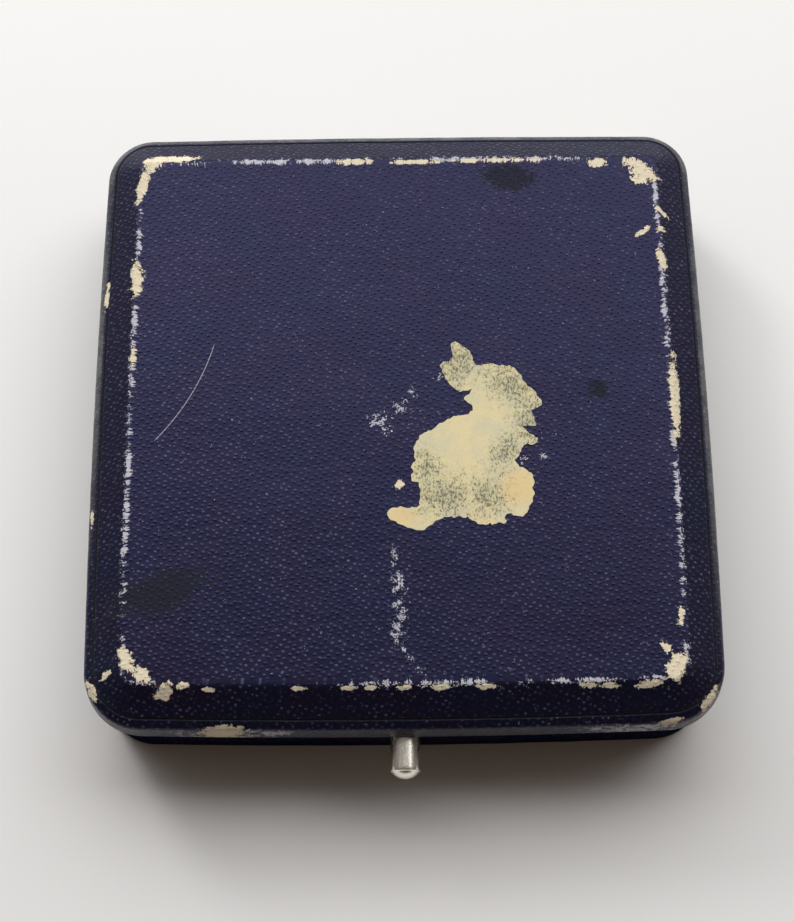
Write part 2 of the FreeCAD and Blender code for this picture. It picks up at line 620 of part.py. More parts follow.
housing = doc.addObject("PartDesign::Body", "housing_body")
front_top = f"({RIM} - plate_thickness / 2)"
housing_top = f"({LID_RIM} + plate_thickness)"
roof_front = f"({HOOK_BACK} + press_travel + fit_gap)"
housing_section = [(PLATE_Y, HOUSING_BOTTOM), (HOUSING_BACK, HOUSING_BOTTOM), (HOUSING_BACK, housing_top),
                   (roof_front, housing_top), (roof_front, f"{housing_top} - plate_thickness"),
                   (SPRING_BACK, f"{housing_top} - plate_thickness"),
                   (SPRING_BACK, f"{HOUSING_BOTTOM} + plate_thickness"),
                   (f"{PLATE_Y} + plate_thickness", f"{HOUSING_BOTTOM} + plate_thickness"),
                   (f"{PLATE_Y} + plate_thickness", front_top), (PLATE_Y, front_top)]
pad(housing, closed_sketch(housing, "housing_section", "YZ_Plane", "0 * skin", housing_section),
    "2 * catch_half_width", True)
node(cut("housing_blank", housing, stem_guide, catch_nail_group), "catch_housing")

spring = doc.addObject("PartDesign::Body", "spring_body")
wire_section = spring.newObject("Sketcher::SketchObject", "spring_wire_section")
level_plane = [part for part in spring.Origin.OriginFeatures if part.Role == "XY_Plane"][0]
wire_section.AttachmentSupport = [(level_plane, "")]
wire_section.MapMode = "FlatFace"
wire_section.addGeometry(Part.Circle(FreeCAD.Vector(value("spring_radius"), value("spring_wire"), 0),
                                     FreeCAD.Vector(0, 0, 1), value("spring_wire")))
wire_constraints = (("Radius", "spring_wire"), ("DistanceX", "spring_radius"), ("DistanceY", "spring_wire"))
for index, (kind, text) in enumerate(wire_constraints):
    if kind == "Radius":
        wire_section.addConstraint(Sketcher.Constraint(kind, 0, value(text)))
    else:
        wire_section.addConstraint(Sketcher.Constraint(kind, -1, 1, 0, 3, value(text)))
    bind(wire_section, **{f"Constraints[{index}]": text})
coil = spring.newObject("PartDesign::AdditiveHelix", "spring_coil")
coil.Profile = wire_section
coil.ReferenceAxis = (wire_section, ["V_Axis"])
coil.Mode = "height-turns-angle"
coil.Turns = SPRING_TURNS
bind(coil, Height="spring_length - 2 * spring_wire")
bind(spring, Placement__Base__y=WASHER_BACK, Placement__Base__z=BUTTON_Z)
doc.recompute()
node(spring, "catch_spring")

# ---------------------------------------------------------------- test everything, then write it

doc.recompute()
faults = [f"{obj.Name}: {obj.State}" for obj in doc.Objects if {"Invalid", "Error"} & set(obj.State)]
for piece in NODES:
    if piece.Shape.isNull() or not piece.Shape.isValid() or not piece.Shape.Solids:
        faults.append(f"{piece.Label}: bad shape")
if faults:
    raise RuntimeError("; ".join(faults))

os.makedirs("parts", exist_ok=True)
for piece in NODES:
    piece.Shape.exportStep(os.path.join("parts", piece.Label + ".step"))
    bounds = piece.Shape.optimalBoundingBox()
    print(f"{piece.Label:18s} solids {len(piece.Shape.Solids)} volume {piece.Shape.Volume:9.2f} "
          f"X {bounds.XMin:7.2f} {bounds.XMax:6.2f} Y {bounds.YMin:7.2f} {bounds.YMax:6.2f} "
          f"Z {bounds.ZMin:6.2f} {bounds.ZMax:6.2f}")
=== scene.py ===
"""Looks of a small hinged case for drafting instruments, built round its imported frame.

The case is made of a base and a lid, each a wooden frame covered in pebbled leatherette, with a
push-button catch at the front. Lengths in the classes below are in millimetres, and turn into metres
only when a mesh is made.
"""

import json
import logging
import math
from dataclasses import dataclass
from enum import Enum

import bpy
import numpy as np
from mathutils import Matrix, Vector, geometry, noise


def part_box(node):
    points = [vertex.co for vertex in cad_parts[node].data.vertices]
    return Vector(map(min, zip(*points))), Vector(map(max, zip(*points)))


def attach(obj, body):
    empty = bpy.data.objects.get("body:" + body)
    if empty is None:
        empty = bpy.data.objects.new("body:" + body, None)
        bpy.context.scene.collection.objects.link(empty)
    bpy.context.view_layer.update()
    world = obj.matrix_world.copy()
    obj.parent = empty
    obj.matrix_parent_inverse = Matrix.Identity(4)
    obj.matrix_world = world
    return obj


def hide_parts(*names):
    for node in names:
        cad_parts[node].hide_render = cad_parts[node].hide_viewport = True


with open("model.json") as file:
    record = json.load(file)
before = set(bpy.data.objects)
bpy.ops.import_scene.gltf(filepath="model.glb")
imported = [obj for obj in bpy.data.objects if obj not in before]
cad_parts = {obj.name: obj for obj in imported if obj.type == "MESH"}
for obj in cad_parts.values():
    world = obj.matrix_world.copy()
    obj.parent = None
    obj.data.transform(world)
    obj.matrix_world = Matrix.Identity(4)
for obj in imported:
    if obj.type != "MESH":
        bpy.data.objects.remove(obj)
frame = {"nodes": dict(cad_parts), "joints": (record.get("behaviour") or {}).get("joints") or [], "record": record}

LOG = logging.getLogger("instrument_case")
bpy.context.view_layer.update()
MM = 0.001

Colour = tuple[float, float, float]
Point = tuple[float, float]


# ---------------------------------------------------------------------------------------------
# Node recipes
# ---------------------------------------------------------------------------------------------


class Recipe:
    """The node tree of one finish, written a node at a time."""

    def __init__(self, name: str) -> None:
        """Starts a material that holds one Principled shader.

        Args:
            name: the material's name.
        """
        self.material = bpy.data.materials.new(name)
        self.material.use_nodes = True
        self.tree = self.material.node_tree
        self.shader = self.tree.nodes["Principled BSDF"]

    def feed(self, socket: bpy.types.NodeSocket, value: object) -> None:
        """Gives a socket a link or a plain value.

        Args:
            socket: the input to set.
            value: another node's output, a number or a tuple.
        """
        if isinstance(value, bpy.types.NodeSocket):
            self.tree.links.new(value, socket)
        elif socket.type == "RGBA":
            socket.default_value = (*value, 1.0)
        else:
            socket.default_value = value

    def node(self, kind: str, sockets: dict[str | int, object], **settings: object) -> bpy.types.Node:
        """Adds one node.

        Args:
            kind: the node's type name.
            sockets: what each input holds.
            **settings: the node's own properties.

        Returns:
            The new node.
        """
        made = self.tree.nodes.new(kind)
        for key, value in settings.items():
            setattr(made, key, value)
        for key, value in sockets.items():
            self.feed(made.inputs[key], value)
        return made

    def surface(self, **sockets: object) -> None:
        """Sets the shader's inputs, with an underscore in a name standing for a space.

        Args:
            **sockets: the value or link of each input.
        """
        for key, value in sockets.items():
            self.feed(self.shader.inputs[key.replace("_", " ")], value)

    def place(self) -> bpy.types.NodeSocket:
        """Returns the point on the piece in millimetres."""
        where = self.node("ShaderNodeTexCoord", {}).outputs["Object"]
        return self.node("ShaderNodeVectorMath", {0: where, "Scale": 1 / MM}, operation="SCALE").outputs[0]

    def lay(self) -> bpy.types.NodeSocket:
        """Returns the point on the flat sheet that the cover was cut from, in millimetres."""
        return self.node("ShaderNodeAttribute", {}, attribute_name="lay").outputs["Vector"]

    def mark(self, kind: "Wear") -> bpy.types.NodeSocket:
        """Returns how deep inside a worn place or painted-sheen patch of one kind a point is."""
        return self.node("ShaderNodeAttribute", {}, attribute_name=kind.value).outputs["Fac"]

    def turned(self, where: bpy.types.NodeSocket, scale: tuple[float, float, float], degrees: float = 0.0,
               axis: int = 2) -> bpy.types.NodeSocket:
        """Turns and stretches a place.

        Args:
            where: the place.
            scale: the stretch along each axis after the turn.
            degrees: the turn.
            axis: the axis of the turn, 0 to 2.

        Returns:
            The changed place.
        """
        turn = [0.0, 0.0, 0.0]
        turn[axis] = math.radians(degrees)
        return self.node("ShaderNodeMapping", {"Vector": where, "Rotation": turn, "Scale": scale}).outputs[0]

    def mottle(self, where: bpy.types.NodeSocket, scale: float, detail: float = 2.0,
               rough: float = 0.5) -> bpy.types.NodeSocket:
        """Returns soft noise from 0 to 1.

        Args:
            where: the place that it is read at.
            scale: cells to a millimetre.
            detail: octaves.
            rough: how strong the finer octaves are.
        """
        sockets = {"Vector": where, "Scale": scale, "Detail": detail, "Roughness": rough}
        return self.node("ShaderNodeTexNoise", sockets).outputs["Fac"]

    def cells(self, where: bpy.types.NodeSocket, scale: float, scatter: float,
              soft: float = 0.4) -> bpy.types.NodeSocket:
        """Returns the distance to the nearest pebble's middle.

        Args:
            where: the place that it is read at.
            scale: pebbles to a millimetre.
            scatter: how far they stray from a grid.
            soft: how much they melt into each other.
        """
        sockets = {"Vector": where, "Scale": scale, "Randomness": scatter, "Smoothness": soft}
        return self.node("ShaderNodeTexVoronoi", sockets, voronoi_dimensions="2D",
                         feature="SMOOTH_F1").outputs["Distance"]

    def sum(self, first: object, second: object, operation: str = "ADD") -> bpy.types.NodeSocket:
        """Returns two numbers put together by one math operation."""
        return self.node("ShaderNodeMath", {0: first, 1: second}, operation=operation).outputs[0]

    def ramp(self, value: object, low: float, high: float, start: float = 0.0,
             end: float = 1.0) -> bpy.types.NodeSocket:
        """Returns a smooth step.

        Args:
            value: the number that is read.
            low: where the step begins.
            high: where it ends.
            start: what it gives below low.
            end: what it gives above high.
        """
        sockets = {"Value": value, "From Min": low, "From Max": high, "To Min": start, "To Max": end}
        return self.node("ShaderNodeMapRange", sockets, interpolation_type="SMOOTHSTEP").outputs["Result"]

    def tint(self, factor: object, low: object, high: object) -> bpy.types.NodeSocket:
        """Returns a colour between two.

        Args:
            factor: 0 for the first and 1 for the second.
            low: the first colour.
            high: the second colour.
        """
        mix = self.tree.nodes.new("ShaderNodeMix")
        mix.data_type = "RGBA"
        self.feed(mix.inputs[0], factor)
        self.feed(mix.inputs[6], low)
        self.feed(mix.inputs[7], high)
        return mix.outputs[2]

    def relief(self, height: object, depth: float, strength: float = 1.0,
               under: object = None) -> bpy.types.NodeSocket:
        """Returns a normal bent by a height.

        Args:
            height: the height, 0 to 1.
            depth: what 1 stands for, in millimetres.
            strength: how much of the bend is kept.
            under: the normal that it is laid on.
        """
        sockets = {"Height": height, "Distance": depth * MM, "Strength": strength}
        if under is not None:
            sockets["Normal"] = under
        return self.node("ShaderNodeBump", sockets).outputs["Normal"]


# ---------------------------------------------------------------------------------------------
# Worn places and painted sheen
# ---------------------------------------------------------------------------------------------


class Wear(Enum):
    """What has happened to the cover at a worn place, or where a grey sheen is painted along its edges. The value
    names the mesh attribute.
    """

    PEEL = "peel"
    RUB = "rub"
    SCUFF = "scuff"
    STAIN = "stain"
    # Not wear: where a grey sheen, a painted highlight, lies along the lid's edges.
    BLOOM = "painted_edge_sheen"


FOLD = "fold"
TOOLED = "tooled"
SCRATCH_SIDE = "scratch_side"
SCRATCH_ALONG = "scratch_along"


@dataclass(frozen=True)
class Patch:
    """One worn place, or one patch of painted sheen, an ellipse seen from above.

    Args:
        kind: what has happened there, or that a sheen is painted there.
        x: its middle, to the right.
        y: its middle, to the rear.
        long: half its length.
        wide: half its width.
        turn: degrees from the x axis to its length.
    """

    kind: Wear
    x: float
    y: float
    long: float
    wide: float
    turn: float = 0.0

    def depth(self, where: np.ndarray) -> np.ndarray:
        """Returns 1 at the middle, 0 on the edge and less outside, for points given in rows."""
        angle = math.radians(self.turn)
        across = where[:, 0] - self.x
        along = where[:, 1] - self.y
        u = (across * math.cos(angle) + along * math.sin(angle)) / self.long
        v = (along * math.cos(angle) - across * math.sin(angle)) / self.wide
        return 1.0 - np.hypot(u, v)


def worn(where: np.ndarray, patches: list[Patch], kind: Wear) -> np.ndarray:
    """Returns how deep inside the patches of one kind each point is.

    Args:
        where: points in rows, x and y first.
        patches: every worn place.
        kind: the kind that is wanted.
    """
    deepest = np.full(len(where), -2.0)
    for patch in patches:
        if patch.kind is kind:
            deepest = np.maximum(deepest, patch.depth(where))
    return deepest


CREASE_X = 35.1
CREASE_Y = 36.1

LID_WEAR_AND_SHEEN = [
    Patch(Wear.PEEL, -30.3, 36.4, 3.4, 0.7, 3),
    Patch(Wear.PEEL, -34.3, 32.6, 3.2, 0.7, 76),
    Patch(Wear.PEEL, -33.0, 35.8, 1.6, 1.2, 40),
    Patch(Wear.PEEL, -5.5, 35.5, 2.6, 0.5),
    Patch(Wear.PEEL, 1.9, 35.4, 4.0, 0.35),
    Patch(Wear.PEEL, 12.9, 35.5, 6.0, 0.35),
    Patch(Wear.PEEL, 27.0, 34.9, 1.3, 0.7),
    Patch(Wear.PEEL, 32.7, 33.9, 2.5, 1.1, -38),
    Patch(Wear.PEEL, 32.5, 32.4, 1.5, 0.7),
    Patch(Wear.PEEL, 35.0, 27.7, 1.5, 0.35, -40),
    Patch(Wear.PEEL, 35.0, 25.0, 0.8, 0.4),
    Patch(Wear.PEEL, 32.4, 24.6, 1.2, 0.4, 35),
    Patch(Wear.PEEL, 34.8, 20.4, 1.8, 0.6, -75),
    Patch(Wear.PEEL, 35.2, 1.0, 6.0, 0.7, 89),
    Patch(Wear.PEEL, 34.1, -27.6, 1.5, 0.45, 85),
    Patch(Wear.PEEL, 33.1, -34.0, 2.0, 1.2, 65),
    Patch(Wear.PEEL, 31.9, -31.6, 0.8, 0.5, -40),
    Patch(Wear.PEEL, 29.6, -36.1, 1.6, 0.5, 8),
    Patch(Wear.PEEL, -34.6, 18.6, 2.6, 0.9, 90),
    Patch(Wear.PEEL, -34.6, 7.3, 1.2, 0.5, 90),
    Patch(Wear.PEEL, -38.9, 16.9, 2.0, 0.35, 85),
    Patch(Wear.PEEL, -39.4, -13.6, 1.1, 0.3, 90),
    Patch(Wear.PEEL, -33.9, -32.5, 1.7, 0.9, -65),
    Patch(Wear.PEEL, -32.0, -34.3, 1.3, 0.9, -45),
    Patch(Wear.PEEL, -29.2, -36.4, 1.2, 1.0, 40),
    Patch(Wear.PEEL, -26.9, -35.7, 0.8, 0.5),
    Patch(Wear.PEEL, -36.5, -34.1, 0.9, 0.4, 40),
    Patch(Wear.PEEL, -38.4, -35.8, 1.5, 0.5, -60),
    Patch(Wear.PEEL, -22.2, -40.7, 2.8, 0.6, 3),
    Patch(Wear.PEEL, 37.4, -37.5, 2.0, 0.5, 55),
    Patch(Wear.PEEL, 32.4, -40.2, 1.4, 0.35, 8),
    Patch(Wear.RUB, CREASE_X, 16.0, 13.0, 3.0, 90),
    Patch(Wear.RUB, CREASE_X, -10.0, 19.0, 2.5, 90),
    Patch(Wear.RUB, 33.9, 29.6, 6.0, 4.0, -60),
    Patch(Wear.RUB, -CREASE_X, 14.0, 19.0, 3.0, 90),
    Patch(Wear.RUB, -CREASE_X, -12.0, 17.0, 2.5, 90),
    Patch(Wear.RUB, -33.1, -32.7, 5.0, 3.0, -45),
    Patch(Wear.RUB, -31.3, 33.9, 5.5, 3.5, 30),
    Patch(Wear.RUB, 32.4, -33.5, 5.5, 3.5, 60),
    Patch(Wear.RUB, -14.0, CREASE_Y, 14.0, 1.8),
    Patch(Wear.RUB, 12.0, CREASE_Y, 16.0, 1.8),
    Patch(Wear.RUB, 3.0, -CREASE_Y, 14.0, 1.4),
    Patch(Wear.RUB, 22.0, -CREASE_Y, 6.0, 1.4),
    # Patches of painted sheen along the rear edge, the rear corners and the two sides, where a grey highlight is
    # painted into the cover's colour.
    Patch(Wear.BLOOM, 0.0, 40.6, 42.0, 3.0),
    Patch(Wear.BLOOM, -36.0, 37.0, 9.0, 6.0, 45),
    Patch(Wear.BLOOM, 36.0, 37.0, 9.0, 6.0, -45),
    Patch(Wear.BLOOM, 39.8, 4.0, 36.0, 1.6, 90),
    Patch(Wear.BLOOM, -39.8, 10.0, 30.0, 1.4, 90),
    Patch(Wear.RUB, -8.0, 40.8, 26.0, 1.6),
    Patch(Wear.RUB, -25.0, 40.6, 12.0, 1.8),
    Patch(Wear.RUB, -21.0, -40.8, 9.0, 1.5),
    Patch(Wear.RUB, 28.0, -40.6, 8.0, 1.2),
    Patch(Wear.SCUFF, -1.0, -19.8, 0.6, 0.9),
    Patch(Wear.SCUFF, -0.5, -23.2, 0.8, 1.5),
    Patch(Wear.SCUFF, -0.4, -26.7, 0.9, 1.2),
    Patch(Wear.SCUFF, -0.8, -29.6, 0.7, 1.6),
    Patch(Wear.SCUFF, 0.6, -32.4, 2.2, 0.35, -55),
    Patch(Wear.SCUFF, -2.8, -1.7, 1.3, 0.8, 15),
    Patch(Wear.SCUFF, 4.7, 3.9, 0.6, 0.5),
    Patch(Wear.SCUFF, 1.3, 1.9, 0.8, 0.5, 20),
    Patch(Wear.SCUFF, -0.2, 0.0, 0.8, 0.6, 50),
    Patch(Wear.SCUFF, -1.8, -3.5, 0.7, 0.5),
    Patch(Wear.SCUFF, 18.4, -6.7, 0.6, 0.5),
    Patch(Wear.SCUFF, 15.6, -7.6, 0.7, 0.6),
    Patch(Wear.PEEL, -0.3, -10.4, 0.75, 0.55, 20),
    Patch(Wear.STAIN, 14.8, 32.8, 3.5, 1.8, -10),
    Patch(Wear.STAIN, -30.0, -23.9, 6.0, 2.3, 15),
    Patch(Wear.STAIN, 25.3, 2.1, 1.6, 1.5),
]
LID_WEAR_AND_SHEEN += [Patch(Wear.PEEL, x, -CREASE_Y - 0.1, 0.9, 0.3) for x in (-23.9, -12.8, -6.7, -4.0, 0.0)]
LID_WEAR_AND_SHEEN += [Patch(Wear.PEEL, x, -CREASE_Y - 0.1, 1.3, 0.35) for x in (4.4, 9.9, 22.5, 25.0)]

BASE_WEAR = [
    Patch(Wear.PEEL, -37.6, -38.2, 2.4, 0.8, -50),
    Patch(Wear.PEEL, 37.0, -38.8, 2.2, 0.5, 50),
    Patch(Wear.PEEL, 30.0, 40.8, 3.0, 0.4),
    Patch(Wear.PEEL, -39.9, 25.0, 2.2, 0.4, 90),
    Patch(Wear.RUB, -38.0, 30.0, 12.0, 6.0, 70),
    Patch(Wear.RUB, 38.0, 30.0, 12.0, 6.0, -70),
]


@dataclass(frozen=True)
class Scratch:
    """A thin curved scratch across the flat top.

    Args:
        start: its first end.
        end: its last end.
        sag: how far its middle strays from the straight line.
    """

    start: Point = (-24.2, 8.9)
    end: Point = (-31.4, -4.1)
    sag: float = 0.9

    def coordinates(self, where: np.ndarray) -> tuple[np.ndarray, np.ndarray]:
        """Returns each point's distance to the side of the scratch and past its middle.

        Args:
            where: points in rows, x and y first.
        """
        start = np.array(self.start)
        run = np.array(self.end) - start
        length = float(np.hypot(*run))
        ahead = run / length
        offset = where[:, :2] - start
        along = offset @ ahead
        side = offset @ np.array([-ahead[1], ahead[0]])
        share = np.clip(along / length, 0.0, 1.0)
        return side - 4 * self.sag * share * (1 - share), np.abs(along - length / 2) - length / 2


# ---------------------------------------------------------------------------------------------
# Finishes
# ---------------------------------------------------------------------------------------------


@dataclass(frozen=True)
class Leatherette:
    """Pebbled navy bookbinder's cloth, rubbed at its creases and peeled down to its cream backing, with a painted
    highlight on its pebble tips and a painted grey sheen along the lid's outer edges.
    """

    name: str = "leatherette"
    navy: Colour = (0.0050, 0.0070, 0.019)
    plum: Colour = (0.0080, 0.0058, 0.016)
    # The pebble tips' colour: partly rubbed tips, partly a painted highlight standing in for the light's glint on
    # each pebble.
    tip: Colour = (0.085, 0.088, 0.140)
    sheen: Colour = (0.46, 0.45, 1.0)
    # Painted sheen: a grey painted onto the lid's wall and outer edges, standing in for light caught by the
    # rounded edges.
    painted_edge_sheen: Colour = (0.165, 0.170, 0.155)
    cream: Colour = (0.71, 0.63, 0.47)
    tan: Colour = (0.38, 0.28, 0.17)
    chalk: Colour = (0.56, 0.55, 0.59)
    soot: Colour = (0.014, 0.016, 0.018)
    shine: float = 0.34
    pebbles: float = 1.18
    pebble_depth: float = 0.045

    def make(self) -> bpy.types.Material:
        """Returns the material."""
        recipe = Recipe(self.name)
        lay = recipe.lay()
        broad = recipe.mottle(lay, 0.09, 3.0, 0.6)
        middle = recipe.mottle(lay, 1.1, 4.0, 0.65)
        fine = recipe.mottle(lay, 4.5, 3.0, 0.6)
        drift = recipe.mottle(lay, 0.16, 2.0)
        pebble = recipe.cells(recipe.turned(lay, (1.0, 1.22, 1.0), 33.0), self.pebbles, 0.40, 0.10)
        bead = recipe.ramp(pebble, 0.34, 0.05)
        # glint chooses which pebble tips get the painted highlight.
        glint = recipe.ramp(recipe.mottle(lay, 0.9, 3.0, 0.7), 0.44, 0.62)
        ripple = recipe.mottle(recipe.turned(lay, (0.35, 1.15, 1.0), 24.0), 0.75, 1.0)

        peel = recipe.ramp(self.ragged(recipe, Wear.PEEL, middle, fine), 0.0, 0.10)
        fold = recipe.sum(self.read(recipe, FOLD), 0.0, "ABSOLUTE")
        near = recipe.ramp(fold, 1.0, 0.0)
        patchy = recipe.ramp(recipe.mottle(lay, 0.35, 3.0, 0.7), 0.36, 0.60, 0.50, 1.0)
        chafe = recipe.sum(recipe.ramp(recipe.mark(Wear.RUB), -0.3, 0.7, 0.0, 0.54), patchy, "MULTIPLY")
        chafe = recipe.sum(near, chafe, "MULTIPLY")
        rub = self.flecks(recipe, chafe, middle, fine)
        scuff = self.flecks(recipe, recipe.ramp(recipe.mark(Wear.SCUFF), -1.2, 1.0, 0.0, 0.38), middle, fine)
        stain = recipe.ramp(self.ragged(recipe, Wear.STAIN, middle, broad), -0.25, 0.35)
        scratch = recipe.sum(recipe.ramp(recipe.sum(self.read(recipe, SCRATCH_SIDE), 0.0, "ABSOLUTE"),
                                         0.08, 0.02),
                             recipe.ramp(self.read(recipe, SCRATCH_ALONG), 0.3, -0.4), "MULTIPLY")
        scratch = recipe.sum(scratch, 0.7, "MULTIPLY")
        light = recipe.sum(recipe.sum(rub, scuff, "MAXIMUM"), scratch, "MAXIMUM")

        skin = recipe.tint(recipe.ramp(broad, 0.35, 0.65), self.navy, self.plum)
        # Pebble tips are painted lighter where glint is high: partly abrasion, partly painted highlight.
        rise = recipe.sum(bead, recipe.ramp(drift, 0.36, 0.60, 0.15, 0.9), "MULTIPLY")
        skin = recipe.tint(recipe.sum(rise, glint, "MULTIPLY"), skin, self.tip)
        # Painted sheen: grey painted on the lid's wall all round, and on the strip between the wall and the tooled
        # line where the sheen patches lie, broken up by the patchy noise.
        outward = self.read(recipe, TOOLED)
        strip = recipe.sum(recipe.ramp(outward, -0.20, -0.55),
                           recipe.ramp(recipe.mark(Wear.BLOOM), -0.2, 0.8, 0.0, 0.75), "MULTIPLY")
        painted_edge_sheen = recipe.sum(recipe.ramp(outward, -0.95, -1.30, 0.0, 0.22), strip, "MAXIMUM")
        skin = recipe.tint(recipe.sum(painted_edge_sheen, patchy, "MULTIPLY"), skin, self.painted_edge_sheen)
        tooled = recipe.ramp(recipe.sum(outward, 0.0, "ABSOLUTE"), 0.24, 0.10)
        skin = recipe.tint(tooled, skin, self.soot)
        skin = recipe.tint(recipe.sum(stain, 0.85, "MULTIPLY"), skin, self.soot)
        skin = recipe.tint(recipe.sum(light, 0.85, "MULTIPLY"), skin, self.chalk)
        board = recipe.tint(recipe.ramp(fine, 0.35, 0.60), self.tan, self.cream)
        board = recipe.tint(recipe.ramp(middle, 0.30, 0.52), board, self.cream)

        bumps = recipe.relief(bead, self.pebble_depth, 1.0)
        bumps = recipe.relief(ripple, 0.05, 0.8, bumps)
        bumps = recipe.relief(recipe.sum(1.0, peel, "SUBTRACT"), 0.10, 0.9, bumps)
        gloss = recipe.ramp(middle, 0.3, 0.7, 0.30, 0.42)
        gloss = recipe.sum(gloss, recipe.sum(peel, 0.5, "MULTIPLY"))
        gloss = recipe.sum(gloss, recipe.sum(recipe.sum(light, stain), 0.2, "MULTIPLY"))
        dull = recipe.sum(recipe.sum(peel, tooled, "MAXIMUM"), recipe.sum(stain, 0.6, "MULTIPLY"), "MAXIMUM")
        recipe.surface(Base_Color=recipe.tint(peel, skin, board), Roughness=gloss, Normal=bumps,
                       Specular_IOR_Level=recipe.ramp(dull, 0.0, 1.0, self.shine, 0.05),
                       Specular_Tint=self.sheen)
        return recipe.material

    @staticmethod
    def read(recipe: Recipe, name: str) -> bpy.types.NodeSocket:
        """Returns a number that the mesh stores at its corners."""
        return recipe.node("ShaderNodeAttribute", {}, attribute_name=name).outputs["Fac"]

    @staticmethod
    def ragged(recipe: Recipe, kind: Wear, middle: bpy.types.NodeSocket,
               fine: bpy.types.NodeSocket) -> bpy.types.NodeSocket:
        """Returns a worn place's depth with its edge torn by two grains.

        Args:
            recipe: the tree.
            kind: the kind of wear.
            middle: the coarse grain.
            fine: the fine grain.
        """
        torn = recipe.sum(recipe.sum(middle, -0.5), 2.5, "MULTIPLY")
        bits = recipe.sum(recipe.sum(fine, -0.5), 1.3, "MULTIPLY")
        return recipe.sum(recipe.mark(kind), recipe.sum(torn, bits))

    @staticmethod
    def flecks(recipe: Recipe, spread: bpy.types.NodeSocket, middle: bpy.types.NodeSocket,
               fine: bpy.types.NodeSocket) -> bpy.types.NodeSocket:
        """Returns a fleck pattern that thickens with the spread.

        Args:
            recipe: the tree.
            spread: how thick the flecks lie, from 0 to about 0.5.
            middle: the coarse grain.
            fine: the fine grain.
        """
        small = recipe.ramp(fine, 0.32, 0.68, 0.0, 0.34)
        large = recipe.ramp(middle, 0.32, 0.68, 0.0, 0.46)
        return recipe.ramp(recipe.sum(spread, recipe.sum(small, large)), 0.72, 0.84)


@dataclass(frozen=True)
class Wood:
    """Pale planed wood with a straight grain."""

    name: str = "wood"
    light: Colour = (0.62, 0.45, 0.27)
    dark: Colour = (0.40, 0.25, 0.13)

    def make(self) -> bpy.types.Material:
        """Returns the material."""
        recipe = Recipe(self.name)
        place = recipe.place()
        grain = recipe.mottle(recipe.turned(place, (0.06, 1.6, 1.6)), 1.0, 4.0, 0.6)
        pores = recipe.mottle(recipe.turned(place, (0.3, 6.0, 6.0)), 1.4, 2.0)
        tone = recipe.sum(recipe.sum(grain, 0.8, "MULTIPLY"), recipe.sum(pores, 0.25, "MULTIPLY"))
        bumps = recipe.relief(pores, 0.04, 0.8)
        recipe.surface(Base_Color=recipe.tint(recipe.ramp(tone, 0.35, 0.7), self.light, self.dark),
                       Roughness=recipe.ramp(pores, 0.3, 0.7, 0.55, 0.75), Normal=bumps)
        return recipe.material


@dataclass(frozen=True)
class Card:
    """Grey-brown strawboard with short fibres."""

    name: str = "card"
    light: Colour = (0.50, 0.42, 0.30)
    dark: Colour = (0.30, 0.24, 0.17)

    def make(self) -> bpy.types.Material:
        """Returns the material."""
        recipe = Recipe(self.name)
        place = recipe.place()
        fibre = recipe.mottle(recipe.turned(place, (0.8, 3.5, 2.0), 20.0), 1.2, 4.0, 0.7)
        recipe.surface(Base_Color=recipe.tint(recipe.ramp(fibre, 0.35, 0.65), self.light, self.dark),
                       Roughness=recipe.ramp(fibre, 0.3, 0.7, 0.8, 0.95),
                       Normal=recipe.relief(fibre, 0.06, 0.8))
        return recipe.material


@dataclass(frozen=True)
class FineGrain:
    """Black fine-grained paper on the underside, dusty where it rubs the table."""

    name: str = "underside"
    black: Colour = (0.020, 0.020, 0.024)
    dust: Colour = (0.12, 0.11, 0.10)

    def make(self) -> bpy.types.Material:
        """Returns the material."""
        recipe = Recipe(self.name)
        place = recipe.place()
        grain = recipe.cells(recipe.turned(place, (1.0, 1.0, 1.0), 40.0), 2.2, 0.9)
        rubbed = recipe.ramp(recipe.mottle(place, 0.25, 5.0, 0.7), 0.52, 0.75)
        fine = recipe.mottle(place, 5.0, 3.0)
        dusted = recipe.sum(rubbed, recipe.ramp(fine, 0.4, 0.65), "MULTIPLY")
        recipe.surface(Base_Color=recipe.tint(dusted, self.black, self.dust),
                       Roughness=recipe.ramp(fine, 0.3, 0.7, 0.5, 0.68),
                       Normal=recipe.relief(grain, 0.05, 0.9))
        return recipe.material


@dataclass(frozen=True)
class Velvet:
    """Deep violet velvet, its pile brushed in cloudy patches."""

    name: str = "velvet"
    pile: Colour = (0.085, 0.040, 0.200)
    shade: Colour = (0.035, 0.014, 0.090)

    def make(self) -> bpy.types.Material:
        """Returns the material."""
        recipe = Recipe(self.name)
        place = recipe.place()
        brushed = recipe.ramp(recipe.mottle(place, 0.16, 3.0, 0.6), 0.35, 0.65)
        nap = recipe.mottle(place, 7.0, 2.0, 0.7)
        tone = recipe.sum(recipe.sum(brushed, 0.6, "MULTIPLY"), recipe.sum(nap, 0.4, "MULTIPLY"))
        recipe.surface(Base_Color=recipe.tint(tone, self.shade, self.pile), Roughness=0.95,
                       Normal=recipe.relief(nap, 0.08, 1.0), Sheen_Weight=1.0, Sheen_Roughness=0.35,
                       Sheen_Tint=(0.55, 0.42, 0.85), Specular_IOR_Level=0.15)
        return recipe.material


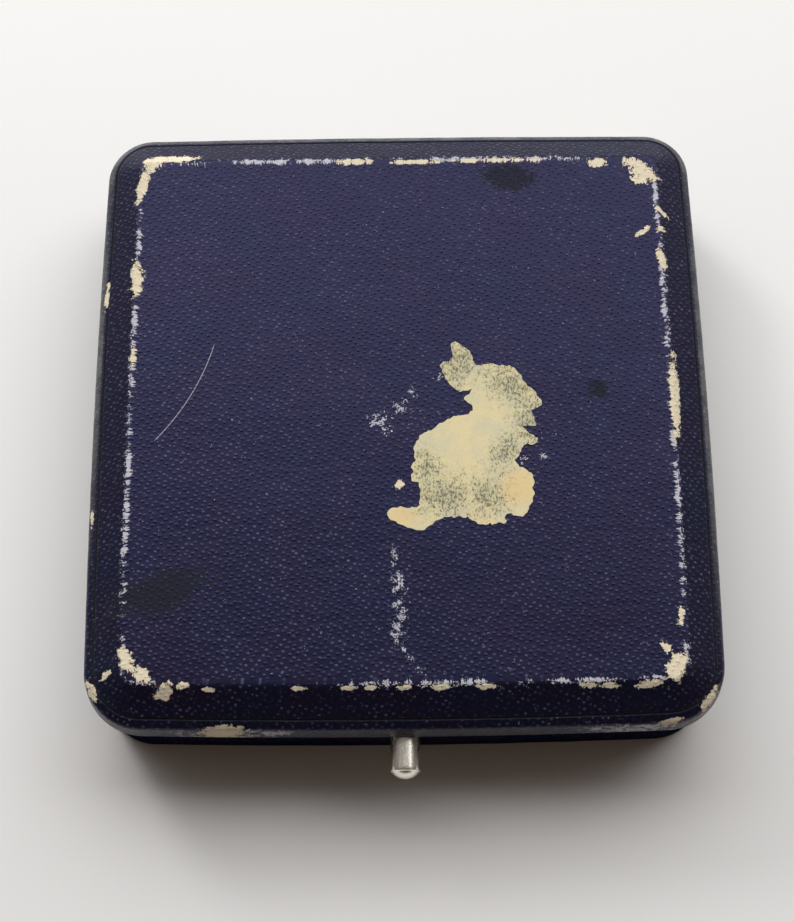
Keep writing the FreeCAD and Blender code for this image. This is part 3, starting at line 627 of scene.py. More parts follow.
@dataclass(frozen=True)
class Satin:
    """Cream silk satin, woven fine along one way and yellowed a little with age."""

    name: str = "satin"
    silk: Colour = (0.72, 0.66, 0.52)
    age: Colour = (0.55, 0.45, 0.30)
    threads: float = 4.0

    def make(self) -> bpy.types.Material:
        """Returns the material."""
        recipe = Recipe(self.name)
        place = recipe.place()
        aged = recipe.ramp(recipe.mottle(place, 0.10, 4.0, 0.6), 0.42, 0.75)
        warp = recipe.mottle(recipe.turned(place, (self.threads, 0.35, 1.0)), 1.0, 3.0, 0.7)
        weft = recipe.mottle(recipe.turned(place, (0.6, self.threads, 1.0)), 1.0, 2.0, 0.6)
        weave = recipe.sum(recipe.sum(warp, 0.7, "MULTIPLY"), recipe.sum(weft, 0.3, "MULTIPLY"))
        tone = recipe.tint(recipe.sum(aged, 0.6, "MULTIPLY"), self.silk, self.age)
        tone = recipe.tint(recipe.ramp(weave, 0.35, 0.65, 0.0, 0.25), tone, self.age)
        recipe.surface(Base_Color=tone, Roughness=recipe.ramp(weave, 0.3, 0.7, 0.30, 0.48),
                       Normal=recipe.relief(weave, 0.03, 0.9), Anisotropic=0.5,
                       Sheen_Weight=0.35, Sheen_Roughness=0.4, Sheen_Tint=(1.0, 0.95, 0.85))
        return recipe.material


@dataclass(frozen=True)
class WornMetal:
    """A bright metal with fine scratches, its plating or polish dulled in patches.

    Args:
        name: the material's name.
        bright: the clean metal.
        dull: the tarnish.
        smooth: roughness of the clean metal.
        rough: roughness of the tarnish.
        tarnish: how much of it is dull, from 0 to 1.
        run: the stretch of the scratches along each axis.
    """

    name: str
    bright: Colour
    dull: Colour
    smooth: float
    rough: float
    tarnish: float
    run: tuple[float, float, float] = (0.5, 9.0, 9.0)

    def make(self) -> bpy.types.Material:
        """Returns the material."""
        recipe = Recipe(self.name)
        place = recipe.place()
        cloud = recipe.mottle(place, 0.9, 5.0, 0.65)
        dulled = recipe.ramp(cloud, 0.72 - self.tarnish * 0.5, 1.0 - self.tarnish * 0.5)
        scratch = recipe.mottle(recipe.turned(place, self.run), 2.0, 3.0, 0.7)
        gloss = recipe.sum(recipe.ramp(scratch, 0.3, 0.7, 0.0, 0.10),
                           recipe.ramp(dulled, 0.0, 1.0, self.smooth, self.rough))
        recipe.surface(Base_Color=recipe.tint(dulled, self.bright, self.dull), Metallic=1.0,
                       Roughness=gloss, Normal=recipe.relief(scratch, 0.006, 0.7))
        return recipe.material


@dataclass(frozen=True)
class TornPaper:
    """The thin rest of a paper label: cream in its middle, with grey-green mould and torn fibres."""

    name: str = "label_paper"
    cream: Colour = (0.71, 0.61, 0.35)
    pale: Colour = (0.62, 0.57, 0.38)
    orange: Colour = (0.74, 0.54, 0.26)
    wash: Colour = (0.42, 0.41, 0.26)
    mould: Colour = (0.075, 0.080, 0.060)

    def make(self) -> bpy.types.Material:
        """Returns the material."""
        recipe = Recipe(self.name)
        place = recipe.place()
        broad = recipe.mottle(place, 0.30, 4.0, 0.6)
        middle = recipe.mottle(place, 1.3, 5.0, 0.75)
        fine = recipe.mottle(place, 4.0, 4.0, 0.7)
        specks = recipe.ramp(recipe.mottle(recipe.turned(place, (1.5, 0.8, 1.0), 8.0), 2.6, 4.0, 0.75),
                             0.36, 0.64)
        grime = recipe.sum(recipe.mark(Wear.STAIN), recipe.sum(recipe.sum(middle, -0.5), 4.0, "MULTIPLY"))
        spread = recipe.ramp(grime, -0.6, 1.2, 0.0, 0.62)
        mould = recipe.ramp(recipe.sum(spread, specks), 0.90, 1.25, 0.0, 0.80)
        warm = recipe.ramp(recipe.sum(recipe.mark(Wear.RUB), recipe.sum(middle, -0.5)), -0.2, 0.7, 0.0, 0.8)
        tone = recipe.tint(recipe.ramp(broad, 0.40, 0.65), self.cream, self.pale)
        tone = recipe.tint(warm, tone, self.orange)
        tone = recipe.tint(recipe.sum(spread, 1.1, "MULTIPLY"), tone, self.wash)
        recipe.surface(Base_Color=recipe.tint(mould, tone, self.mould),
                       Roughness=recipe.ramp(fine, 0.3, 0.7, 0.75, 0.95),
                       Normal=recipe.relief(fine, 0.05, 0.8))
        return recipe.material


BASE_LEATHERETTE = Leatherette("base_leatherette", shine=0.0)
BRASS = WornMetal("brass", (0.72, 0.53, 0.24), (0.22, 0.15, 0.07), 0.26, 0.55, 0.45)
NICKEL = WornMetal("nickel", (0.93, 0.90, 0.80), (0.66, 0.61, 0.49), 0.19, 0.34, 0.15, (5.0, 0.3, 5.0))
STEEL = WornMetal("steel", (0.52, 0.52, 0.53), (0.16, 0.12, 0.09), 0.30, 0.60, 0.30)


class FinishBook:
    """Every finish of the case, made once and handed out by the record's slot names."""

    def __init__(self) -> None:
        """Makes the materials."""
        kinds = [Leatherette(), BASE_LEATHERETTE, Wood(), Card(), FineGrain(), Velvet(), Satin(),
                 BRASS, NICKEL, STEEL, TornPaper()]
        self.made = {kind.name: kind.make() for kind in kinds}

    def dress_nodes(self, record: dict) -> None:
        """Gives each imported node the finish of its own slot.

        Args:
            record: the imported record.
        """
        for part in record["subparts"]:
            mesh = frame["nodes"][part["node"]].data
            mesh.materials.clear()
            mesh.materials.append(self.made[part["material_slot"]])

    def settle(self, piece: bpy.types.Object, body: str, slot: str, *stands_for: str,
               finish: str | None = None) -> bpy.types.Object:
        """Dresses a finished piece and ties it to its body.

        Args:
            piece: the piece, in place.
            body: the body that it moves with.
            slot: the record's slot that names its finish.
            *stands_for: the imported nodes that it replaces.
            finish: the finish's own name, where it is not the slot's.

        Returns:
            The piece.
        """
        piece.data.materials.clear()
        piece.data.materials.append(self.made[finish or slot])
        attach(piece, body)
        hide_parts(*stands_for)
        return piece


# ---------------------------------------------------------------------------------------------
# Shapes
# ---------------------------------------------------------------------------------------------


def make_piece(name: str, points: np.ndarray, faces: list[tuple[int, ...]]) -> bpy.types.Object:
    """Makes a smooth mesh object.

    Args:
        name: the piece's name.
        points: its corners in rows, in millimetres.
        faces: the corners of each face, counted from 0.

    Returns:
        The object, linked to the scene.
    """
    mesh = bpy.data.meshes.new(name)
    mesh.from_pydata((points * MM).tolist(), [], faces)
    mesh.polygons.foreach_set("use_smooth", [True] * len(mesh.polygons))
    mesh.validate()
    mesh.update()
    piece = bpy.data.objects.new(name, mesh)
    bpy.context.scene.collection.objects.link(piece)
    return piece


def write_number(piece: bpy.types.Object, name: str, values: np.ndarray) -> None:
    """Stores a number at each corner of a mesh.

    Args:
        piece: the piece.
        name: the attribute's name.
        values: the numbers.
    """
    stored = piece.data.attributes.new(name, "FLOAT", "POINT")
    stored.data.foreach_set("value", values.astype(np.float32))


def write_marks(piece: bpy.types.Object, where: np.ndarray, patches: list[Patch],
                kinds: tuple[Wear, ...] = tuple(Wear), hidden: np.ndarray | None = None) -> None:
    """Stores the depth of the worn places and painted-sheen patches on a mesh, one attribute for each kind.

    Args:
        piece: the piece.
        where: its corners, in millimetres.
        patches: the worn places and painted-sheen patches.
        kinds: the kinds that are stored.
        hidden: the corners that stay unworn.
    """
    for kind in kinds:
        depth = worn(where, patches, kind)
        if hidden is not None:
            depth[hidden] = -2.0
        write_number(piece, kind.value, depth)


def arc(middle: Point, radius: float, start: float, end: float, steps: int) -> list[Point]:
    """Returns points on an arc, both ends included.

    Args:
        middle: the arc's middle.
        radius: its radius.
        start: the first angle in degrees, from the first axis towards the second.
        end: the last angle in degrees.
        steps: the number of points.
    """
    angles = [math.radians(a) for a in np.linspace(start, end, steps)]
    return [(middle[0] + radius * math.cos(a), middle[1] + radius * math.sin(a)) for a in angles]


def ripple_of(where: np.ndarray, pitch: float, seed: float) -> np.ndarray:
    """Returns gentle noise from about -0.5 to 0.5 at each point.

    Args:
        where: points in rows, in millimetres.
        pitch: the size of a ripple.
        seed: moves the pattern.
    """
    return np.array([noise.noise(Vector((p[0], p[1], p[2] + seed)) / pitch) for p in where])


@dataclass(frozen=True)
class Outline:
    """The plan of the case: a rounded rectangle whose sides bow outwards a little.

    Args:
        half_wide: half the width at the corners' ends.
        half_deep: half the depth at the corners' ends.
        corner: the front corners' radius.
        rear_corner: the rear corners' radius.
        side_bow: how far the left and right sides bow out.
        end_bow: how far the front bows out.
        rear_bow: how far the rear bows out.
        side_steps: points along a side.
        corner_steps: points round a corner.
    """

    half_wide: float
    half_deep: float
    corner: float = 7.0
    rear_corner: float = 5.8
    side_bow: float = 0.55
    end_bow: float = 0.7
    rear_bow: float = 0.3
    side_steps: int = 150
    corner_steps: int = 22

    def stations(self, half: float, marks: tuple[float, ...]) -> np.ndarray:
        """Returns places along a side, with one at every mark.

        Args:
            half: half the side's straight length.
            marks: places that must be there.
        """
        even = np.linspace(-half, half, self.side_steps)
        near = 0.12
        kept = [s for s in even if all(abs(s - m) > near for m in marks)]
        return np.array(sorted([*kept, *marks]))

    def ring(self, inset: float) -> np.ndarray:
        """Returns one closed ring of points before the sides are bowed.

        Args:
            inset: the distance in from the outline, below nothing for a ring outside it.
        """
        run_x = self.half_wide - self.corner
        run_y = self.half_deep - self.corner
        rear_x = self.half_wide - self.rear_corner
        rear_y = self.half_deep - self.rear_corner
        radius = self.corner - inset
        rear_radius = self.rear_corner - inset
        button = tuple(np.round(np.arange(-2.6, 2.61, 0.2), 2)) + (-2.02, -1.98, 1.98, 2.02)
        plates = (-7.0, -5.2, 5.2, 7.0)
        front = self.stations(run_x, button + plates)
        rear = self.stations(rear_x, (-24.6, -24.4, 24.4, 24.6))[::-1]
        side = self.stations((run_y + rear_y) / 2, ()) + (rear_y - run_y) / 2
        turn = np.radians(np.linspace(0, 90, self.corner_steps + 2)[1:-1])
        parts = [np.column_stack([front, np.full(len(front), -self.half_deep + inset)])]
        parts.append(self.corner_points(run_x, -run_y, radius, turn - math.pi / 2))
        parts.append(np.column_stack([np.full(len(side), self.half_wide - inset), side]))
        parts.append(self.corner_points(rear_x, rear_y, rear_radius, turn))
        parts.append(np.column_stack([rear, np.full(len(rear), self.half_deep - inset)]))
        parts.append(self.corner_points(-rear_x, rear_y, rear_radius, turn + math.pi / 2))
        parts.append(np.column_stack([np.full(len(side), -self.half_wide + inset), side[::-1]]))
        parts.append(self.corner_points(-run_x, -run_y, radius, turn + math.pi))
        return np.vstack(parts)

    @staticmethod
    def corner_points(x: float, y: float, radius: float, turn: np.ndarray) -> np.ndarray:
        """Returns a corner's points, for its middle, radius and angles."""
        return np.column_stack([x + radius * np.cos(turn), y + radius * np.sin(turn)])

    def bowed(self, ring: np.ndarray) -> np.ndarray:
        """Returns the ring with its sides bowed outwards."""
        u = ring[:, 0] / self.half_wide
        v = ring[:, 1] / self.half_deep
        rear = self.rear_bow * (1 - u * u) + self.end_bow - self.rear_bow
        along = v * np.where(v < 0, self.end_bow * (1 - u * u), rear)
        return ring + np.column_stack([self.side_bow * u * (1 - v * v), along])


@dataclass
class HingeRoom:
    """The room that the covers leave behind and around the hinge.

    Args:
        axis_y: the hinge axis, to the rear.
        axis_z: its height.
        knuckle: the radius of the knuckles' room.
        half_length: half the hinge's length with its end play.
        leaf_front: the front edge of the leaves' room.
        slope: degrees that the groove's two sides open from the level.
    """

    axis_y: float
    axis_z: float
    knuckle: float = 1.12
    half_length: float = 24.5
    leaf_front: float = 36.5
    slope: float = 51.0

    def reach(self, x: np.ndarray, y: np.ndarray, leaf: float) -> np.ndarray:
        """Returns how far from the axis' height a cover has to keep, at each point.

        Args:
            x: places across.
            y: places to the rear.
            leaf: the height of the leaf's room.
        """
        groove = np.maximum(0.0, y - self.axis_y) * math.tan(math.radians(self.slope))
        barrel = np.sqrt(np.maximum(0.0, self.knuckle**2 - (y - self.axis_y) ** 2))
        hinge = np.maximum(barrel, np.where(y > self.leaf_front, leaf, 0.0))
        return np.maximum(groove, np.where(np.abs(x) < self.half_length, hinge, 0.0))


@dataclass
class Shell:
    """A leatherette cover that is turned over the rim of one half of the case.

    Args:
        outline: the plan of the case.
        hinge: the room round the hinge.
        wear: its worn places, and on the lid also the patches where a sheen is painted.
    """

    outline: Outline
    hinge: HingeRoom
    wear: list[Patch]

    def weave(self, name: str, profile: list[Point], flat_from: float, tops: list[np.ndarray],
              bare: "Bare") -> bpy.types.Object:
        """Makes the cover from its section.

        Args:
            name: the piece's name.
            profile: the section from its first ring to its last, as insets and heights.
            flat_from: the inset where the sheet's flat lay starts.
            tops: further rings, each with x, y and z, which close the middle. May be empty.
            bare: the part of the rim that has no cover.

        Returns:
            The cover.
        """
        rings = []
        lays = []
        folds = []
        grooves = []
        travel = self.travel(profile, flat_from)
        for (inset, height), run, fold in zip(profile, travel, self.fold_of(profile, travel)):
            ring = self.outline.bowed(self.outline.ring(inset))
            rings.append(np.column_stack([ring, np.full(len(ring), height)]))
            flat = self.outline.ring(flat_from - run)
            lays.append(np.column_stack([flat, np.zeros(len(flat))]))
            folds.append(np.full(len(ring), fold))
            grooves.append(np.full(len(ring), self.groove_of(inset, height)))
        for ring in tops:
            rings.append(ring)
            lays.append(ring * (1.0, 1.0, 0.0))
            folds.append(self.inward(ring, flat_from))
            grooves.append(np.full(len(ring), 9.0))
        count = len(rings[0])
        points = self.shaped(np.vstack(rings))
        lay = np.vstack(lays)
        faces = []
        for row in range(len(rings) - 1):
            for i in range(count):
                j = (i + 1) % count
                quad = (row * count + i, row * count + j, (row + 1) * count + j, (row + 1) * count + i)
                if not bare.holds(points[list(quad)]):
                    faces.append(quad)
        if tops:
            last = (len(rings) - 1) * count
            middle = points[last:].mean(axis=0)
            faces += [(last + i, last + (i + 1) % count, len(points)) for i in range(count)]
            points = np.vstack([points, middle])
            lay = np.vstack([lay, middle * (1.0, 1.0, 0.0)])
            folds.append([self.outline.half_wide])
            grooves.append([9.0])
        piece = make_piece(name, points, faces)
        stored = piece.data.attributes.new("lay", "FLOAT_VECTOR", "POINT")
        stored.data.foreach_set("vector", lay.astype(np.float32).ravel())
        write_marks(piece, points, self.wear, hidden=~self.weathered(points))
        write_number(piece, FOLD, np.concatenate(folds))
        write_number(piece, TOOLED, np.concatenate(grooves))
        side, along = Scratch().coordinates(points)
        write_number(piece, SCRATCH_SIDE, side)
        write_number(piece, SCRATCH_ALONG, np.where(self.weathered(points), along, 9.0))
        return piece

    def inward(self, ring: np.ndarray, edge: float) -> np.ndarray:
        """Returns how far inside the ring at an inset each point lies.

        Args:
            ring: points in rows.
            edge: the inset that is measured from.
        """
        across = self.outline.half_wide + self.outline.side_bow - edge - np.abs(ring[:, 0])
        along = self.outline.half_deep + self.outline.end_bow - edge - np.abs(ring[:, 1])
        return np.minimum(across, along)

    def fold_of(self, profile: list[Point], travel: list[float]) -> list[float]:
        """Returns each section point's distance from the fold that rubs most."""
        return [-run for run in travel]

    def groove_of(self, inset: float, height: float) -> float:
        """Returns how far inside the tooled line a point lies; there is no line here."""
        return 9.0

    def weathered(self, points: np.ndarray) -> np.ndarray:
        """Returns which points lie outside, where wear and painted sheen show."""
        return np.ones(len(points), bool)

    @staticmethod
    def travel(profile: list[Point], flat_from: float) -> list[float]:
        """Returns the length of sheet from the flat face to each point of a section.

        Args:
            profile: the section, as insets and heights.
            flat_from: the inset where the flat face ends.
        """
        steps = [math.dist(a, b) for a, b in zip(profile, profile[1:])]
        along = np.concatenate([[0.0], np.cumsum(steps)])
        nearest = min(range(len(profile)), key=lambda i: abs(profile[i][0] - flat_from) - profile[i][1])
        return list(np.abs(along - along[nearest]))

    def shaped(self, points: np.ndarray) -> np.ndarray:
        """Returns the points after cuts and unevenness, which each half does in its own way."""
        return points


@dataclass(frozen=True)
class Bare:
    """A box on the rim where the cover is cut away for a plate.

    Args:
        half_wide: half its width.
        front: its front edge.
        rear: its rear edge.
        low: its lowest height.
        high: its highest height.
    """

    half_wide: float
    front: float
    rear: float
    low: float
    high: float

    def holds(self, corners: np.ndarray) -> bool:
        """Returns whether the middle of a face lies in the box."""
        x, y, z = corners.mean(axis=0)
        return abs(x) < self.half_wide and self.front < y < self.rear and self.low < z < self.high


# ---------------------------------------------------------------------------------------------
# The lid
# ---------------------------------------------------------------------------------------------


@dataclass
class LidCover(Shell):
    """The lid's cover: straight walls, a tooled line, a wide bevel and a flat top.

    Args:
        rim: the height of its lower edge.
        top: the height of its flat top.
        rim_inset: how far the rim reaches in.
        turn_up: how far it is turned up inside.
        rim_round: the radius of its lower edge.
        flare: how far the wall leans out towards its lower edge.
        bevel_wide: the bevel's width.
        bevel_drop: the bevel's height.
        edge_round: the radius between the wall and the bevel.
        crease_round: the radius between the bevel and the flat top.
        tool_inset: where the tooled line runs.
        tool_depth: how deep it is pressed.
        tool_wide: half its width.
        button_axis: the height of the button's axis.
        button_room: the radius of the button's arch.
        top_rings: rings of the flat top.
    """

    rim: float
    top: float
    rim_inset: float = 4.35
    turn_up: float = 0.5
    rim_round: float = 0.45
    flare: float = 0.28
    bevel_wide: float = 4.9
    bevel_drop: float = 3.0
    edge_round: float = 1.0
    crease_round: float = 1.2
    tool_inset: float = 1.25
    tool_depth: float = 0.16
    tool_wide: float = 0.13
    button_axis: float = 10.4
    button_room: float = 2.1
    top_rings: int = 50

    def section(self) -> list[Point]:
        """Returns the section from the inside of the rim to the crease, as insets and heights."""
        lean = math.degrees(math.atan2(self.bevel_drop, self.bevel_wide))
        rise = self.bevel_drop / self.bevel_wide
        inner = [(self.rim_inset, self.rim + self.turn_up), (self.rim_inset, self.rim + 0.1)]
        inner += [(i, self.rim) for i in (4.2, 3.6, 3.0, 2.8, 2.0, 1.3, 0.9)]
        edge_in = self.rim_round - self.flare
        lower = arc((edge_in, self.rim + self.rim_round), self.rim_round, -90, -180, 6)
        start = self.top - self.bevel_drop - self.edge_round * (1 / math.cos(math.radians(lean)) - rise)
        heights = np.linspace(self.rim + self.rim_round, start, 9)[1:-1]
        shares = [(start - z) / (start - self.rim - self.rim_round) for z in heights]
        wall = [(-self.flare * share, z) for share, z in zip(shares, heights)]
        shoulder = arc((self.edge_round, start), self.edge_round, 180, 90 + lean, 6)
        crease = arc((self.bevel_wide + self.crease_round * math.tan(math.radians(lean / 2)),
                      self.top - self.crease_round), self.crease_round, 90 + lean, 90, 6)
        first = shoulder[-1]
        groove = np.linspace(self.tool_inset - 0.32, self.tool_inset + 0.32, 13)
        broad = np.linspace(self.tool_inset + 0.6, crease[0][0] - 0.3, 9)
        bevel = [(i, first[1] + (i - first[0]) * rise - self.tooled(i)) for i in [*groove, *broad]]
        return inner + lower + wall + shoulder + bevel + crease

    def tooled(self, inset: float) -> float:
        """Returns how deep the tooled line is pressed at an inset."""
        return self.tool_depth * math.exp(-(((inset - self.tool_inset) / self.tool_wide) ** 2))

    def flat_rings(self, edge: float) -> list[np.ndarray]:
        """Returns the rings of the flat top, close together near the crease.

        Args:
            edge: the inset of the crease.
        """
        ring = self.outline.bowed(self.outline.ring(edge))
        steps = np.linspace(0, 1, self.top_rings + 1)[1:]
        scales = 1 - steps * (0.62 + 0.37 * steps)
        return [np.column_stack([ring * s, np.full(len(ring), self.top)]) for s in scales]

    def shaped(self, points: np.ndarray) -> np.ndarray:
        """Returns the points with the hinge's room, the button's arch and a worn unevenness."""
        x, y, z = points.T
        wall_top = self.top - self.bevel_drop - 0.56
        reach = self.hinge.axis_z + self.hinge.reach(x, y, 0.70)
        arch = self.button_axis + np.sqrt(np.maximum(0.0, self.button_room**2 - x**2))
        low = np.maximum(self.rim, reach)
        low = np.where((y < -39.6) & (np.abs(x) < self.button_room), np.maximum(low, arch), low)
        share = (wall_top - low) / (wall_top - self.rim)
        lifted = wall_top - (wall_top - z) * share
        z = np.where(z < wall_top, lifted, z)
        uneven = ripple_of(points, 9.0, 3.0)
        outer = np.clip((z - self.rim - 0.6) / 2.0, 0.0, 1.0)
        z = z + 0.07 * uneven * outer - 0.03 * outer
        push = 1 - 0.0012 * np.abs(ripple_of(points, 5.0, 11.0)) * outer
        return np.column_stack([x * push, y * push, z])

    def fold_of(self, profile: list[Point], travel: list[float]) -> list[float]:
        """Returns each section point's distance from the crease or, nearer the rim, from the wall."""
        start = max(i for i, (inset, _) in enumerate(profile) if inset < 0.001)
        folds = []
        for (inset, _), run in zip(profile, travel):
            beyond = run - travel[start]
            wall = 0.12 * beyond if beyond > 0 else -beyond
            folds.append(min(run, wall))
        return folds

    def groove_of(self, inset: float, height: float) -> float:
        """Returns how far inside the tooled line a section point lies, below nothing outside it.

        Args:
            inset: the point's inset.
            height: its height.
        """
        return inset - self.tool_inset if height > self.rim + self.rim_round / 2 else 9.0

    def weathered(self, points: np.ndarray) -> np.ndarray:
        """Returns which points lie above the rim's lower edge."""
        return points[:, 2] > self.rim + self.rim_round / 2

    def build(self) -> bpy.types.Object:
        """Returns the cover as a mesh."""
        section = self.section()
        crease = section[-1][0]
        plate = Bare(7.0, -39.7, -36.6, self.rim - 0.1, self.rim + 0.7)
        return self.weave("lid_leatherette", section, crease, self.flat_rings(crease), plate)


@dataclass
class LabelScrap:
    """The rest of a torn paper label, glued near the middle of the lid.

    Args:
        top: the height of the lid's flat top.
        thickness: the paper's.
        sink: how far its edges go into the cover, so that no light shows under them.
        tear: how far its edge strays.
        step: the distance between the points of its edge.
        spread: the distance between the points inside it.
    """

    top: float
    thickness: float = 0.06
    sink: float = 0.10
    tear: float = 0.34
    step: float = 0.28
    spread: float = 0.55

    corners = [
        (6.9, 9.0), (9.1, 7.4), (9.6, 6.0), (11.1, 5.8), (14.4, 5.3), (15.8, 3.5), (16.9, 2.1),
        (18.2, 0.1), (16.8, -0.6), (17.2, -2.6), (15.6, -3.0), (17.4, -4.6), (15.5, -5.7), (14.5, -7.7),
        (16.3, -9.1), (16.5, -12.3), (14.9, -14.8), (13.0, -14.4), (12.8, -15.6), (10.3, -15.7),
        (7.1, -14.7), (3.9, -15.5), (2.3, -16.7), (0.1, -15.6), (-2.0, -14.7), (-0.8, -13.3),
        (2.0, -13.4), (2.2, -10.9), (1.3, -9.5), (1.6, -6.8), (2.1, -4.2), (4.1, -2.8), (6.5, -1.5),
        (9.2, -0.7), (8.2, 0.9), (9.2, 2.2), (7.3, 2.1), (5.8, 3.8), (5.2, 5.8), (6.6, 6.8),
    ]
    marks = [
        Patch(Wear.STAIN, 7.4, 6.2, 3.4, 3.8, -30),
        Patch(Wear.STAIN, 14.2, 2.8, 4.6, 2.6, -45),
        Patch(Wear.STAIN, 16.6, -2.4, 2.4, 4.6),
        Patch(Wear.STAIN, 13.4, -6.0, 3.2, 1.7, 50),
        Patch(Wear.STAIN, 5.4, -12.0, 4.6, 3.2, -8),
        Patch(Wear.STAIN, 3.0, -8.4, 1.8, 2.8),
        Patch(Wear.STAIN, 10.8, -12.2, 2.8, 3.0, 40),
        Patch(Wear.RUB, 14.4, -11.0, 3.2, 2.8, 20),
        Patch(Wear.RUB, 0.2, -14.5, 2.2, 1.3, -10),
    ]

    @staticmethod
    def stray(x: float, y: float, layer: float, scale: float) -> Vector:
        """Returns a small step in the plane, which changes smoothly from place to place.

        Args:
            x: the place across.
            y: the place to the rear.
            layer: picks one of several patterns.
            scale: how quickly the step changes.
        """
        across = noise.noise(Vector((x, y, layer)) * scale)
        along = noise.noise(Vector((x, y, layer + 31.0)) * scale)
        return Vector((across, along))

    def edge(self) -> list[Point]:
        """Returns the torn edge as a dense loop, its corners rounded and its line ragged."""
        loop = []
        count = len(self.corners)
        for i in range(count):
            before, a, b, after = (Vector(self.corners[(i + k) % count]) for k in (-1, 0, 1, 2))
            steps = max(2, round((b - a).length / self.step))
            for k in range(steps):
                t = k / steps
                spot = 0.5 * (2 * a + (b - before) * t + (2 * before - 5 * a + 4 * b - after) * t**2
                              + (3 * a - before - 3 * b + after) * t**3)
                stray = self.stray(spot.x, spot.y, 0.0, 1.3)
                fine = self.stray(spot.x, spot.y, 7.0, 3.7)
                loop.append((spot.x + self.tear * (stray.x + 0.5 * fine.x),
                             spot.y + self.tear * (stray.y + 0.5 * fine.y)))
        return loop

    def build(self) -> bpy.types.Object:
        """Returns the scrap as a closed mesh."""
        edge = self.edge()
        low = np.min(edge, axis=0)
        high = np.max(edge, axis=0)
        inside = []
        for gx in np.arange(low[0], high[0], self.spread):
            for gy in np.arange(low[1], high[1], self.spread):
                nudge = self.stray(gx, gy, 3.0, 2.1) * 0.2
                if min(math.dist((gx, gy), e) for e in edge) > self.spread * 0.6:
                    inside.append((gx + nudge.x, gy + nudge.y))
        flat = [Vector(p) for p in [*edge, *inside]]
        loop = [list(range(len(edge)))]
        corners, _, faces, *_ = geometry.delaunay_2d_cdt(flat, [], loop, 1, 1e-5)
        used = sorted({corner for face in faces for corner in face})
        points = np.array([(corners[i].x, corners[i].y, 0.0) for i in used])
        order = {old: new for new, old in enumerate(used)}
        faces = [[order[corner] for corner in face] for face in faces]
        leads = [face.index(min(face)) for face in faces]
        faces = sorted([*face[lead:], *face[:lead]] for face, lead in zip(faces, leads))
        rim = self.boundary(faces)
        lift = self.thickness + 0.02 * ripple_of(points, 1.6, 5.0)
        points[:, 2] = self.top + lift
        skirt = points[rim] - (0.0, 0.0, self.thickness + self.sink)
        base = len(points)
        walls = [(rim[i], base + i, base + (i + 1) % len(rim), rim[(i + 1) % len(rim)])
                 for i in range(len(rim))]
        whole = np.vstack([points, skirt])
        piece = make_piece("label_scrap", whole, [tuple(f) for f in faces] + walls + [
            tuple(base + i for i in reversed(range(len(rim))))])
        self.crisp(piece, set(rim))
        write_marks(piece, whole, self.marks, (Wear.STAIN, Wear.RUB))
        return piece

    @staticmethod
    def crisp(piece: bpy.types.Object, rim: set[int]) -> None:
        """Marks the paper's upper edge as sharp.

        Args:
            piece: the scrap.
            rim: the corners along its edge.
        """
        sharp = [edge.vertices[0] in rim and edge.vertices[1] in rim for edge in piece.data.edges]
        stored = piece.data.attributes.new("sharp_edge", "BOOLEAN", "EDGE")
        stored.data.foreach_set("value", sharp)

    @staticmethod
    def boundary(faces: list[list[int]]) -> list[int]:
        """Returns the corners along the outside of some faces, in order.

        Args:
            faces: the corners of each face.
        """
        follows = {(a, b) for face in faces for a, b in zip(face, [*face[1:], face[0]])}
        outside = {a: b for a, b in follows if (b, a) not in follows}
        order = [min(outside)]
        while len(order) < len(outside) and outside[order[-1]] != order[0]:
            order.append(outside[order[-1]])
        return order


@dataclass(frozen=True)
class RoundedSheet:
    """A grid of points that fills a rounded rectangle.

    Args:
        half_wide: half its width.
        half_deep: half its depth.
        corner: its corners' radius.
        pitch: the distance between points.
    """

    half_wide: float
    half_deep: float
    corner: float
    pitch: float

    def counts(self) -> tuple[int, int]:
        """Returns the number of points across and along."""
        return 2 * round(self.half_wide / self.pitch) + 1, 2 * round(self.half_deep / self.pitch) + 1

    def plan(self) -> np.ndarray:
        """Returns the points in rows, x and y."""
        across, along = self.counts()
        x, y = np.meshgrid(np.linspace(-1, 1, across) * self.half_wide,
                           np.linspace(-1, 1, along) * self.half_deep)
        p = np.clip((np.abs(x) - self.half_wide + self.corner) / self.corner, 0, 1)
        q = np.clip((np.abs(y) - self.half_deep + self.corner) / self.corner, 0, 1)
        x = x - np.sign(x) * self.corner * (p - p * np.sqrt(1 - q * q / 2))
        y = y - np.sign(y) * self.corner * (q - q * np.sqrt(1 - p * p / 2))
        return np.column_stack([x.ravel(), y.ravel()])

    def faces(self, start: int = 0, upward: bool = True) -> list[tuple[int, ...]]:
        """Returns the grid's faces.

        Args:
            start: the number of its first point.
            upward: whether they look up.
        """
        across, along = self.counts()
        quads = []
        for row in range(along - 1):
            for i in range(across - 1):
                a = start + row * across + i
                quad = (a, a + 1, a + across + 1, a + across)
                quads.append(quad if upward else quad[::-1])
        return quads

    def border(self) -> list[int]:
        """Returns the outer points in order, anticlockwise from above."""
        across, along = self.counts()
        front = list(range(across))
        right = [across * (r + 1) - 1 for r in range(1, along)]
        rear = [across * (along - 1) + i for i in range(across - 2, -1, -1)]
        left = [across * r for r in range(along - 2, 0, -1)]
        return front + right + rear + left


